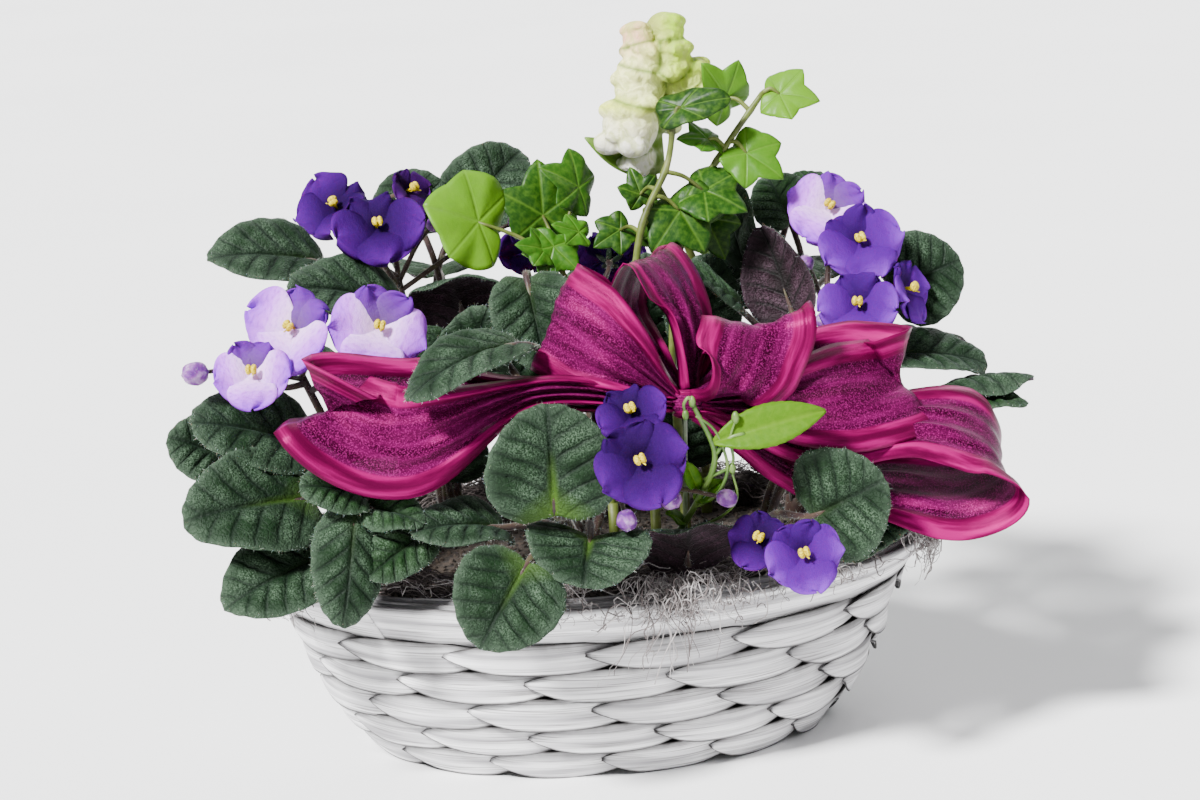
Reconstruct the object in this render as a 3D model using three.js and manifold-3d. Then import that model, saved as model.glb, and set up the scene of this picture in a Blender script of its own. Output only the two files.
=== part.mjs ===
// An oval white-washed basket planted with african violets, an ivy and a snapdragon, with an
// organza bow. Millimetres, +Z up; the origin is the middle of the basket's flat underside, +X
// runs along the oval and the front of the arrangement faces -Y.
import * as THREE from "three";
import { mergeVertices } from "three/addons/utils/BufferGeometryUtils.js";
import Module from "manifold-3d";

// ---- Driving dimensions ------------------------------------------------------------------

const RIM_HALF_LENGTH = 153;
const RIM_HALF_WIDTH = 105;
const BASKET_HEIGHT = 90;
const WALL_INSET = [[0, 54], [15, 40], [29, 31], [43, 25], [57, 20], [71, 13], [90, 0]];
const WIDTH_SHARE_OF_INSET = 0.75; // the wall leans in less on the long sides

const WEAVE_ROWS = 5;
const WEAVE_BOTTOM = 1;
const WEAVE_TOP = 71;
const STRANDS_ROUND = 14; // flat strands that show in one row
const STEPS_A_STRAND = 3;
const RING_STEPS = STRANDS_ROUND * STEPS_A_STRAND; // every ring of the basket has the same corners
const STRAND_BACK = 4.2; // from a row's inner face to its valleys
const STRAND_BULGE = 3.6;
const STRAND_EDGE = 0.4; // how proud the ridge stands where one lap meets the next
const STRAND_SLANT = 0.9; // how far the ridge climbs along a lap, as a share of the row's height
const BAND_THICKNESS = 2;
const OUTER_BAND_SUNK = 1.5; // behind the wall's outer face
const INNER_LIP = 1; // how far the inner band stands above the outer one, and the rim between them

const STAKES = 10;
const STAKE_WIDTH = 6;
const STAKE_THICKNESS = 1.6;
const BASE_THICKNESS = 5;

const LINER_WALL = 1;
const SOIL_TOP = 80;
const SOIL_MOUND = 7;
const HOLE_FLOOR = 68; // how deep the stems stand in the soil
const GAP = 0.35; // between two pieces that touch
const STEM_SIDES = 7;
const SCRAP = 15; // cubic millimetres, at most, of a scrap that is dropped

const BLADE_THICKNESS = 1.1;
const PETAL_THICKNESS = 0.9;
const PETIOLE_RADIUS = 2.1;
const PETIOLE_TIP_RADIUS = 1.5;
const PETIOLE_STAGGER = 3.5; // between the heights at which three neighbours leave the crown
const CROWN_RADIUS = 7;
const LEAF_SPOKES = 8;
const PETIOLE_STEPS = 2;
const PETIOLE_RISE = 0.55; // how steeply it leaves the crown, as a share of its reach
const FULL_LEAF = 44; // wide enough to bend across as well as along
const STALK_RADIUS = 1.7;
const STALK_SPACING = 4; // between two forks of a flower stem
const STEM_RADII = [2.4, 2]; // of a flower stem, at the crown and where it forks
const NECK = 9; // straight part of a bloom's stalk behind its calyx

const RIBBON_WIDTH = 50;
const RIBBON_THICKNESS = 0.9;
const KNOT = [34, -90, 170];
const KNOT_RADIUS = 8;
const KNOT_WIDTH = 7; // of the gathered ribbon
const PLY_GAP_AT_KNOT = 2.4;

// ---- Materials ---------------------------------------------------------------------------

const material = (color, roughness) => new THREE.MeshStandardMaterial({ color, roughness, metalness: 0 });
const whiteWash = material(0xdedcda, 0.75);
const bareWood = material(0xa89c8c, 0.85);
const blackFilm = material(0x26262a, 0.4);
const peat = material(0x1d1712, 0.95);
const fibre = material(0xcfc8c4, 0.95);
const violetGreen = material(0x2b4a30, 0.7);
const darkViolet = material(0x3d1f9e, 0.6);
const midViolet = material(0x6a3fd0, 0.6);
const paleViolet = material(0xc79cf0, 0.6);
const plumViolet = material(0x5c1f93, 0.6);
const pollen = material(0xe0c41e, 0.6);
const ivyGreen = material(0x3f8a28, 0.5);
const shootGreen = material(0x6fae1e, 0.45);
const snapGreen = material(0x7fa33a, 0.6);
const snapWhite = material(0xeef0d0, 0.6);
const magenta = material(0x8c0a5c, 0.45);
const wire = material(0x5b6048, 0.5);

// ---- Solids ------------------------------------------------------------------------------

const wasm = await Module();
wasm.setup();

const vec = (p) => new THREE.Vector3(...p);
const mix = THREE.MathUtils.lerp;

/** A closed three.js geometry as a solid that can be cut and joined. */
function solidOf(geometry) {
  const bare = geometry.index ? geometry.toNonIndexed() : geometry.clone();
  bare.deleteAttribute("normal");
  bare.deleteAttribute("uv");
  const merged = mergeVertices(bare, 1e-4);
  return new wasm.Manifold(
    new wasm.Mesh({
      numProp: 3,
      vertProperties: merged.attributes.position.array,
      triVerts: new Uint32Array(merged.index.array),
    }),
  );
}

/** Joins solids that grow from each other, and drops a scrap left where two of them cross. */
function fuse(solids) {
  const bodies = wasm.Manifold.union(solids).decompose();
  bodies.sort((a, b) => b.volume() - a.volume());
  const [whole, ...loose] = bodies;
  for (const body of loose) {
    const { min, max } = body.boundingBox();
    const box = `${min.map(Math.round)} to ${max.map(Math.round)}`;
    if (body.volume() > SCRAP) throw new Error(`hangs on nothing: ${box}`);
  }
  return whole;
}

const root = new THREE.Group();

/** Adds a solid or a geometry to the part as one named piece. */
function piece(name, shape, finish) {
  let geometry = shape;
  if (!shape.isBufferGeometry) {
    const mesh = shape.getMesh();
    geometry = new THREE.BufferGeometry()
      .setAttribute("position", new THREE.BufferAttribute(new Float32Array(mesh.vertProperties), 3))
      .setIndex(new THREE.BufferAttribute(new Uint32Array(mesh.triVerts), 1));
    geometry.computeVertexNormals();
  }
  const mesh = new THREE.Mesh(geometry, finish);
  mesh.name = name;
  root.add(mesh);
}

function geometryFrom(points, triangles) {
  const flat = new Float32Array(points.flatMap((p) => [p.x, p.y, p.z]));
  return new THREE.BufferGeometry()
    .setAttribute("position", new THREE.BufferAttribute(flat, 3))
    .setIndex(triangles.flat());
}

/** Both sides of an open sheet, half a thickness off its middle each way, and the way between them. */
function plies(points, face, thickness) {
  const sheet = geometryFrom(points, face);
  sheet.computeVertexNormals();
  const normals = sheet.getAttribute("normal");
  const side = (sign) =>
    points.map((p, i) => {
      const normal = new THREE.Vector3().fromBufferAttribute(normals, i);
      return p.clone().addScaledVector(normal, (sign * thickness) / 2);
    });
  const count = points.length;
  const back = face.map(([a, b, c]) => [count + a, count + c, count + b]);
  return { corners: [...side(1), ...side(-1)], triangles: [...face, ...back], count };
}

/** A ring of closed sections, each a list of points, joined to the next and the last to the first. */
function ringSolid(sections) {
  const across = sections[0].length;
  const triangles = [];
  sections.forEach((_, i) => {
    const next = (i + 1) % sections.length;
    for (let j = 0; j < across; j++) {
      const k = (j + 1) % across;
      const [a, b, c, d] = [i * across + j, i * across + k, next * across + j, next * across + k];
      triangles.push([a, c, b], [b, c, d]);
    }
  });
  return solidOf(geometryFrom(sections.flat(), triangles));
}

/** A stalk of round section along a curve, with a flat end at each side. */
function stalk(curve, startRadius, endRadius, steps, sides) {
  const frames = curve.computeFrenetFrames(steps, false);
  const points = [];
  for (let i = 0; i <= steps; i++) {
    const radius = mix(startRadius, endRadius, i / steps);
    for (let j = 0; j < sides; j++) {
      const turn = (2 * Math.PI * j) / sides;
      points.push(
        curve
          .getPoint(i / steps)
          .addScaledVector(frames.normals[i], radius * Math.cos(turn))
          .addScaledVector(frames.binormals[i], radius * Math.sin(turn)),
      );
    }
  }
  const triangles = [];
  for (let i = 0; i < steps; i++)
    for (let j = 0; j < sides; j++) {
      const k = (j + 1) % sides;
      const [a, b, c, d] = [i * sides + j, i * sides + k, (i + 1) * sides + j, (i + 1) * sides + k];
      triangles.push([a, b, c], [b, d, c]);
    }
  for (let j = 1; j < sides - 1; j++) {
    triangles.push([0, j + 1, j]);
    triangles.push([steps * sides, steps * sides + j, steps * sides + j + 1]);
  }
  return solidOf(geometryFrom(points, triangles));
}

/** A thin blade over a disc: surface(share of the way out, angle) gives its middle surface. */
function blade(surface, spokes, rings, thickness) {
  const middle = [surface(0, 0)];
  for (let ring = 1; ring <= rings; ring++)
    for (let spoke = 0; spoke < spokes; spoke++)
      middle.push(surface(ring / rings, (2 * Math.PI * spoke) / spokes));
  const face = [];
  for (let j = 0; j < spokes; j++) {
    const k = (j + 1) % spokes;
    face.push([0, 1 + j, 1 + k]);
    for (let ring = 1; ring < rings; ring++) {
      const inner = 1 + (ring - 1) * spokes;
      const outer = inner + spokes;
      face.push([inner + j, outer + j, inner + k], [inner + k, outer + j, outer + k]);
    }
  }
  const { corners, triangles, count } = plies(middle, face, thickness);
  const rim = 1 + (rings - 1) * spokes;
  for (let j = 0; j < spokes; j++) {
    const k = (j + 1) % spokes;
    triangles.push([rim + j, count + rim + j, rim + k], [rim + k, count + rim + j, count + rim + k]);
  }
  return solidOf(geometryFrom(corners, triangles));
}

/** Right-handed axes of a piece that points along `along` and shows its upper side to `face`. */
function axesOf(along, face) {
  const x = along.clone().normalize();
  const z = vec(face).addScaledVector(x, -vec(face).dot(x)).normalize();
  return { x, y: z.clone().cross(x), z };
}

const placed = (origin, axes, x, y, z) =>
  origin.clone().addScaledVector(axes.x, x).addScaledVector(axes.y, y).addScaledVector(axes.z, z);

// ---- Basket ------------------------------------------------------------------------------

/** How far the wall stands in from the rim at a height. */
function insetAt(z) {
  const above = WALL_INSET.findIndex(([height]) => height >= z);
  const upper = above < 0 ? WALL_INSET.length - 1 : Math.max(1, above);
  const [[z0, inset0], [z1, inset1]] = [WALL_INSET[upper - 1], WALL_INSET[upper]];
  return mix(inset0, inset1, (z - z0) / (z1 - z0));
}

/** A point on the basket's wall, `out` millimetres outside its outer face. */
function wallPoint(turn, z, out) {
  const inset = insetAt(z);
  return new THREE.Vector3(
    (RIM_HALF_LENGTH - inset + out) * Math.cos(turn),
    (RIM_HALF_WIDTH - WIDTH_SHARE_OF_INSET * inset + out) * Math.sin(turn),
    z,
  );
}

/** One row of the weave: lens-shaped laps of a flat strand, each slanting over the end of the last. */
function weaveRow(row) {
  const height = (WEAVE_TOP - WEAVE_BOTTOM) / WEAVE_ROWS;
  const low = WEAVE_BOTTOM + row * height + GAP / 2;
  const high = WEAVE_BOTTOM + (row + 1) * height - GAP / 2;
  const sections = [];
  for (let i = 0; i < RING_STEPS; i++) {
    const turn = (2 * Math.PI * (i + (row % 2) * (STEPS_A_STRAND / 2))) / RING_STEPS;
    const along = (i % STEPS_A_STRAND) / STEPS_A_STRAND;
    const thick = Math.sin(Math.PI * along);
    const ridge = mix(low, high, thick ? 0.5 + STRAND_SLANT * (along - 0.5) : 0.5);
    sections.push([
      wallPoint(turn, high, -STRAND_BACK),
      wallPoint(turn, low, -STRAND_BACK),
      wallPoint(turn, low, 0),
      wallPoint(turn, ridge, STRAND_EDGE + STRAND_BULGE * thick),
      wallPoint(turn, high, 0),
    ]);
  }
  return ringSolid(sections);
}

/** A flat band bent round the basket between two heights, `out` outside the wall. */
function band(low, high, out, thickness) {
  const sections = [];
  for (let i = 0; i < RING_STEPS; i += 2) {
    const turn = (2 * Math.PI * i) / RING_STEPS;
    sections.push([
      wallPoint(turn, high, out),
      wallPoint(turn, low, out),
      wallPoint(turn, low, out + thickness),
      wallPoint(turn, high, out + thickness),
    ]);
  }
  return ringSolid(sections);
}

/** The corners of a level ring on the wall, `out` millimetres outside its outer face. */
const wallRing = (around, z, out) =>
  Array.from({ length: around }, (_, i) => wallPoint((2 * Math.PI * i) / around, z, out));

const STAKE_OUT = -STRAND_BACK - 2 * GAP; // the stakes' outer faces, just inside the weave
const STAKE_LEVELS = [1, 15, 43, 57, 71, 86];

/** The base board, with its edge cut to the wall's slope. */
function baseBoard() {
  const around = RING_STEPS / 2;
  const points = [...wallRing(around, 0, STAKE_OUT), ...wallRing(around, BASE_THICKNESS, STAKE_OUT)];
  points.push(new THREE.Vector3(0, 0, 0), new THREE.Vector3(0, 0, BASE_THICKNESS));
  const triangles = [];
  for (let i = 0; i < around; i++) {
    const k = (i + 1) % around;
    triangles.push([i, k, around + i], [k, around + k, around + i]);
    triangles.push([2 * around, k, i], [2 * around + 1, around + i, around + k]);
  }
  return solidOf(geometryFrom(points, triangles));
}

/** One upright that bends up from the base board inside the weave. */
function stake(turn) {
  const half = STAKE_WIDTH / 2 / RIM_HALF_WIDTH;
  const points = STAKE_LEVELS.flatMap((z) => [
    wallPoint(turn - half, z, STAKE_OUT),
    wallPoint(turn + half, z, STAKE_OUT),
    wallPoint(turn + half, z, STAKE_OUT - STAKE_THICKNESS),
    wallPoint(turn - half, z, STAKE_OUT - STAKE_THICKNESS),
  ]);
  const triangles = [];
  for (let i = 0; i < STAKE_LEVELS.length - 1; i++)
    for (let j = 0; j < 4; j++) {
      const k = (j + 1) % 4;
      const [a, b, c, d] = [4 * i + j, 4 * i + k, 4 * i + 4 + j, 4 * i + 4 + k];
      triangles.push([a, b, c], [b, d, c]);
    }
  const top = 4 * (STAKE_LEVELS.length - 1);
  triangles.push([0, 2, 1], [0, 3, 2], [top, top + 1, top + 2], [top, top + 2, top + 3]);
  return solidOf(geometryFrom(points, triangles));
}

const stakes = Array.from({ length: STAKES }, (_, i) => stake((2 * Math.PI * (i + 0.5)) / STAKES));
piece("basket_base_and_stakes", fuse([baseBoard(), ...stakes]), bareWood);
for (let row = 0; row < WEAVE_ROWS; row++) piece(`weave_row_${row + 1}`, weaveRow(row), whiteWash);
const outerBandTop = BASKET_HEIGHT - INNER_LIP;
const innerBandOut = -STRAND_BACK - 4 * GAP - STAKE_THICKNESS - BAND_THICKNESS;
const outerBand = band(WEAVE_TOP + GAP, outerBandTop, -OUTER_BAND_SUNK, BAND_THICKNESS + OUTER_BAND_SUNK);
piece("rim_band_outer", outerBand, whiteWash);
const innerBand = band(WEAVE_TOP + 4, BASKET_HEIGHT + INNER_LIP, innerBandOut, BAND_THICKNESS);
piece("rim_band_inner", innerBand, whiteWash);

// ---- Liner and soil ----------------------------------------------------------------------

/** A bowl-shaped solid inside the wall from one height up to another, with a mounded top. */
function bowl(low, high, out, mound) {
  const levels = [low, 43, 71, high];
  const around = RING_STEPS / 2;
  const points = levels.flatMap((z) => wallRing(around, z, out));
  points.push(new THREE.Vector3(0, 0, low), new THREE.Vector3(0, 0, high + mound));
  const triangles = [];
  for (let i = 0; i < levels.length - 1; i++)
    for (let j = 0; j < around; j++) {
      const k = (j + 1) % around;
      const [a, b, c, d] = [i * around + j, i * around + k, (i + 1) * around + j, (i + 1) * around + k];
      triangles.push([a, b, c], [b, d, c]);
    }
  const last = (levels.length - 1) * around;
  for (let j = 0; j < around; j++) {
    const k = (j + 1) % around;
    triangles.push([points.length - 2, k, j], [points.length - 1, last + j, last + k]);
  }
  return solidOf(geometryFrom(points, triangles));
}

const linerOut = innerBandOut - 2 * GAP;
const linerTop = BASKET_HEIGHT - 6;
const soilOut = linerOut - LINER_WALL - GAP;
const linerFloor = BASE_THICKNESS + GAP + LINER_WALL + GAP;
const linerShell = bowl(BASE_THICKNESS + GAP, linerTop, linerOut, 0);
const linerInside = bowl(linerFloor - GAP, linerTop + 5, linerOut - LINER_WALL, 0);
piece("liner", linerShell.subtract(linerInside), blackFilm);

const HOLE_DEPTH = 60; // through the soil's mound and past it
const holes = []; // where stems stand in the soil
function standIn([x, y], radius) {
  const hole = new THREE.CylinderGeometry(radius + GAP, radius + GAP, HOLE_DEPTH, STEM_SIDES);
  holes.push(solidOf(hole.rotateX(Math.PI / 2).translate(x, y, HOLE_FLOOR - GAP + HOLE_DEPTH / 2)));
}

/** The foot of a stem, from its hole's floor up to a height. */
function footStem([x, y], radius, top) {
  const shape = new THREE.CylinderGeometry(radius, radius, top - HOLE_FLOOR, STEM_SIDES);
  standIn([x, y], radius);
  return solidOf(shape.rotateX(Math.PI / 2).translate(x, y, (top + HOLE_FLOOR) / 2));
}

// ---- Violets -----------------------------------------------------------------------------

const NOTCH_DEPTH = 0.16; // at a leaf's heel, as a share of its reach
const NOTCH_SPREAD = 0.35; // radians
const SCALLOP = 0.02;
const QUILT = 3.6;

/** Middle surface of a violet leaf: heart-shaped from heel to tip, arched, cupped and quilted. */
function leafSurface({ heel, tip, face, width, arch = 0.06, cup = 0.1, fold = 0 }) {
  const base = vec(heel);
  const along = vec(tip).sub(base);
  const length = along.length();
  const axes = axesOf(along, face);
  return (out, turn) => {
    const notch = Math.exp(-(((turn - Math.PI) / NOTCH_SPREAD) ** 2));
    const reach = out * (1 - NOTCH_DEPTH * notch) * (1 + SCALLOP * Math.cos(12 * turn));
    const x = length * (0.45 + 0.55 * Math.cos(turn) * reach);
    const y = (width / 2) * Math.sin(turn) * (1 - 0.14 * Math.cos(turn)) * reach;
    const side = (2 * y) / width;
    const lift = 4 * arch * x * (1 - x / length) + cup * width * side * side - fold * Math.abs(y);
    return placed(base, axes, x, y, lift + QUILT * Math.cos(5 * turn) * out * (1 - out));
  };
}

const leafRings = ({ width }) => (width < FULL_LEAF ? 1 : 2);
const violetBlade = (leaf) => blade(leafSurface(leaf), LEAF_SPOKES, leafRings(leaf), BLADE_THICKNESS);

/** The leaf's own stalk, from the side of the crown into the blade just past its heel. */
function petiole(crown, leaf, level) {
  const away = vec(leaf.heel).sub(vec(crown)).setZ(0).normalize();
  const start = vec(crown).addScaledVector(away, CROWN_RADIUS - 3).add(new THREE.Vector3(0, 0, level));
  const surface = leafSurface(leaf);
  const inner = leafRings(leaf) === 1 ? surface(0, 0) : surface(0.5, Math.PI);
  const end = inner.lerp(surface(1, Math.PI), 0.4);
  const axes = axesOf(vec(leaf.tip).sub(vec(leaf.heel)), leaf.face);
  const reach = start.distanceTo(end);
  const curve = new THREE.CubicBezierCurve3(
    start,
    start.clone().lerp(end, 0.15).add(new THREE.Vector3(0, 0, PETIOLE_RISE * reach)),
    placed(end, axes, -0.3 * reach, 0, -0.06 * reach),
    end,
  );
  return stalk(curve, PETIOLE_RADIUS, PETIOLE_TIP_RADIUS, PETIOLE_STEPS, 3);
}

/** The stalk of a bloom or bud, through the points where it forks and bends. */
const flowerStalk = (points, endRadius) =>
  stalk(new THREE.CatmullRomCurve3(points), STALK_RADIUS, endRadius, points.length, 3);

/** Where a bloom's stalk ends: in a green calyx that stops just short of the petals. */
const calyxMouth = ({ centre, face }) =>
  vec(centre).addScaledVector(vec(face).normalize(), -THROAT_DEPTH - PETAL_THICKNESS - 2 * GAP);

/** A closed bud in its calyx. */
function bud([x, y, z, size]) {
  return solidOf(new THREE.IcosahedronGeometry(size).scale(1, 1, 1.25).translate(x, y, z));
}

const PETALS = [ // turn from the lip and half the spread in degrees, length share, how far forward
  { turn: 0, half: 40, length: 1, forward: 2.6 },
  { turn: 79, half: 39, length: 0.96, forward: 0.8 },
  { turn: 149, half: 31, length: 0.8, forward: -0.6 },
  { turn: 211, half: 31, length: 0.8, forward: -1.6 },
  { turn: 281, half: 39, length: 0.96, forward: 0.2 },
];
const SINUS_REACH = 0.34; // of the notch between two petals, as a share of the bloom's radius
const PETAL_OUTLINE = [ // turn share, reach share
  [-1, SINUS_REACH], [-0.78, 0.84], [-0.3, 1], [0.3, 1], [0.78, 0.84],
];
const THROAT_DEPTH = 2.5;
const PETAL_RISE = 0.12; // of a petal over its reach
const CALYX_RADIUS = 2.4;
const ANTHER_RADIUS = 2.3;
const ANTHER_LIFT = 4;

/** The corolla: five petals in their layers, three broad ones below and two small ones above. */
function petals({ centre, face, lip, radius }) {
  const axes = bloomAxes(face, lip);
  const spokes = PETALS.length * PETAL_OUTLINE.length;
  return blade(
    (out, round) => {
      const spoke = Math.round((round / (2 * Math.PI)) * spokes) % spokes;
      const { turn, half, length, forward } = PETALS[Math.floor(spoke / PETAL_OUTLINE.length)];
      const [share, reach] = PETAL_OUTLINE[spoke % PETAL_OUTLINE.length];
      const angle = THREE.MathUtils.degToRad(turn + share * half);
      const away = radius * length * reach * out;
      const layer = forward * (reach - SINUS_REACH) * out;
      const z = layer + PETAL_RISE * away - THROAT_DEPTH * (1 - out);
      return placed(vec(centre), axes, away * Math.cos(angle), away * Math.sin(angle), z);
    },
    spokes,
    1,
    PETAL_THICKNESS,
  );
}

/** Axes of a bloom: along its lip, across it, and out of its face. */
function bloomAxes(face, lip) {
  const out = vec(face).normalize();
  return axesOf(vec(lip).addScaledVector(out, -vec(lip).dot(out)), face);
}

/** The pair of yellow anthers, just clear of the throat. */
function anthers({ centre, face, lip }) {
  const axes = bloomAxes(face, lip);
  const lobes = [-1, 1].map((side) => {
    const at = placed(vec(centre), axes, -0.4, (ANTHER_RADIUS / 2) * side, ANTHER_LIFT);
    return solidOf(new THREE.OctahedronGeometry(ANTHER_RADIUS).translate(...at));
  });
  return fuse(lobes);
}

const LIP_DOWN = [0, 0, -1];

const VIOLETS = {
  back_left: {
    crown: [-62, 38],
    finish: darkViolet,
    leaves: [
      { heel: [-112, 25, 219], tip: [-163, 5, 228], face: [-0.2, -0.55, 0.8], width: 43 },
      { heel: [-80, 12, 200], tip: [-129, -12, 215], face: [-0.1, -0.6, 0.8], width: 42 },
      { heel: [-66, 58, 222], tip: [-78, 72, 250], face: [-0.1, -0.8, 0.6], width: 38 },
      { heel: [-50, 62, 226], tip: [-18, 78, 256], face: [0.1, -0.8, 0.6], width: 40 },
      { heel: [-52, 24, 188], tip: [-56, -8, 214],
        face: [0, 0.6, 0.8], width: 48, cup: -0.05, arch: 0.14 },
      { heel: [-98, 82, 190], tip: [-130, 122, 184], face: [-0.3, 0.5, 0.8], width: 44 },
      { heel: [-58, 96, 196], tip: [-60, 146, 186], face: [0, 0.5, 0.85], width: 45 },
      { heel: [-112, 52, 168], tip: [-164, 66, 160], face: [-0.5, 0.2, 0.85], width: 44 },
      { heel: [-80, 88, 142], tip: [-92, 130, 116], face: [-0.1, 0.8, 0.6], width: 42 },
      { heel: [-64, 20, 112], tip: [-70, 2, 152], face: [0, -0.9, 0.35], width: 42 },
    ],
    hub: [-80, 46, 205],
    blooms: [
      { centre: [-106, 48, 240], face: [-0.35, -0.6, 0.7], lip: [-1, 0, -0.3], radius: 19 },
      { centre: [-88, 24, 234],
        face: [0.1, -0.75, 0.6], lip: [0.2, -0.6, -1], radius: 21, finish: darkViolet },
      { centre: [-72, 54, 244],
        face: [0.75, -0.5, 0.4], lip: [0.2, 0, -1], radius: 13, finish: plumViolet },
    ],
    buds: [[-62, 40, 230, 3.5], [-24, 38, 229, 4.2]],
  },
  front_left: {
    crown: [-92, -34],
    leaves: [
      { heel: [-124, -30, 149], tip: [-174, -52, 168], face: [-0.2, -0.65, 0.72], width: 46 },
      { heel: [-158, -8, 138], tip: [-186, -16, 154], face: [-0.3, -0.7, 0.6], width: 34 },
      { heel: [-124, -55, 132], tip: [-178, -82, 134], face: [-0.1, -0.8, 0.6], width: 50 },
      { heel: [-120, -68, 110], tip: [-164, -90, 97], face: [-0.2, -0.75, 0.65], width: 42 },
      { heel: [-101, -77, 138], tip: [-129, -91, 147], face: [0, -0.7, 0.7], width: 26 },
      { heel: [-103, -78, 133], tip: [-79, -96, 129], face: [0, -0.6, 0.8], width: 23 },
      { heel: [-107, -86, 134], tip: [-115, -112, 92],
        face: [0.15, -0.95, 0.2], width: 32, fold: 0.35, cup: 0 },
      { heel: [-77, -81, 121], tip: [-104, -101, 108], face: [0.05, -0.75, 0.65], width: 25 },
    ],
    hub: [-126, -12, 176],
    blooms: [
      { centre: [-128, -36, 203],
        face: [-0.5, -0.75, 0.35], lip: [-0.6, 0, -0.8], radius: 22, finish: paleViolet },
      { centre: [-146, -48, 188],
        face: [-0.1, -0.92, 0.3], lip: LIP_DOWN, radius: 17, finish: paleViolet },
      { centre: [-91, -46, 203],
        face: [0.1, -0.93, 0.3], lip: [-0.3, 0, -0.9], radius: 22, finish: paleViolet },
    ],
    buds: [[-170, -45, 188, 5.4]],
  },
  front_middle: {
    crown: [-8, -56],
    leaves: [
      { heel: [-25, -14, 214], tip: [-20, -40, 176], face: [-0.05, -0.88, 0.45], width: 38 },
      { heel: [-54, -4, 166], tip: [-43, -22, 202], face: [0, -0.85, 0.5], width: 34 },
      { heel: [-60, 4, 188], tip: [-75, -24, 174], face: [0, -0.7, 0.7], width: 34 },
      { heel: [-32, -74, 198], tip: [-82, -107, 184], face: [0, -0.25, 1], width: 34, arch: 0.1 },
      { heel: [-44, -80, 120], tip: [-84, -98, 126], face: [0, -0.4, 0.9], width: 34 },
      { heel: [-25, -110, 131], tip: [-25, -104, 178], face: [0, -0.97, 0.25], width: 56, cup: 0.08 },
      { heel: [-37, -113, 114], tip: [-60, -130, 84], face: [-0.05, -0.88, 0.45], width: 47 },
      { heel: [-9, -96, 120], tip: [-16, -124, 104], face: [0, -0.62, 0.78], width: 52, cup: 0.16 },
    ],
    hub: [4, -74, 138],
    blooms: [
      { centre: [9, -107, 173], face: [-0.1, -0.8, 0.6], lip: [0.3, 0, -1], radius: 15 },
      { centre: [10, -124, 157], face: [0, -0.98, 0.2], lip: [0.35, 0, -0.9], radius: 20 },
    ],
    buds: [[24, -101, 133, 4.8], [5, -108, 127, 4.6], [48, -101, 131, 4]],
  },
  front_right: {
    crown: [66, -50],
    leaves: [
      { heel: [84, -96, 118], tip: [114, -108, 136], face: [0.1, -0.92, 0.4], width: 50 },
      { heel: [100, -68, 99], tip: [132, -76, 112], face: [0.1, -0.65, 0.75], width: 32 },
      { heel: [32, -84, 96], tip: [32, -108, 122], face: [0, 0.55, 0.83], width: 44, arch: 0.12 },
      { heel: [152, -24, 152], tip: [196, -36, 158], face: [0.1, 0.1, 1], width: 34, fold: 0.3, cup: 0 },
      { heel: [160, -32, 144], tip: [190, -48, 149], face: [0, -0.2, 1], width: 26 },
      { heel: [126, 0, 128], tip: [176, 8, 118], face: [0.5, 0, 0.85], width: 42 },
    ],
    hub: [66, -80, 104],
    blooms: [
      { centre: [61, -107, 114], face: [-0.35, -0.8, 0.45], lip: [-0.4, 0, -1], radius: 14 },
      { centre: [76, -124, 112],
        face: [0, -0.97, 0.2], lip: [0.25, 0, -0.95], radius: 17, finish: midViolet },
    ],
    buds: [],
  },
  back_right: {
    crown: [98, 22],
    leaves: [
      { heel: [142, 12, 190], tip: [174, 8, 203], face: [0.15, -0.9, 0.4], width: 44 },
      { heel: [103, 44, 218], tip: [94, 56, 240], face: [-0.1, -0.75, 0.65], width: 30 },
      { heel: [84, 26, 186], tip: [72, 40, 242], face: [-0.8, -0.4, 0.4], width: 38 },
      { heel: [97, -2, 178], tip: [84, 12, 224], face: [0.3, 0.8, 0.5], width: 34, fold: 0.4, cup: 0 },
      { heel: [70, -10, 193], tip: [38, -22, 214], face: [-0.1, -0.35, 0.93], width: 30 },
      { heel: [134, -10, 166], tip: [180, -16, 160], face: [0, -0.3, 0.95], width: 38 },
      { heel: [108, 62, 224], tip: [122, 78, 236], face: [0, -0.6, 0.8], width: 22 },
      { heel: [122, 74, 186], tip: [154, 108, 184], face: [0.3, 0.5, 0.8], width: 44 },
      { heel: [84, 90, 196], tip: [92, 136, 190], face: [0, 0.5, 0.85], width: 42 },
      { heel: [142, 46, 160], tip: [190, 60, 150], face: [0.5, 0.2, 0.85], width: 44 },
      { heel: [112, 78, 136], tip: [134, 112, 112], face: [0.3, 0.7, 0.65], width: 42 },
    ],
    hub: [112, 12, 184],
    blooms: [
      { centre: [115, 10, 231],
        face: [-0.15, -0.85, 0.5], lip: [-0.5, 0, -0.8], radius: 20, finish: paleViolet },
      { centre: [125, -6, 218],
        face: [0.05, -0.85, 0.5], lip: [0.3, 0, -1], radius: 20, finish: midViolet },
      { centre: [120, -26, 194],
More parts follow.
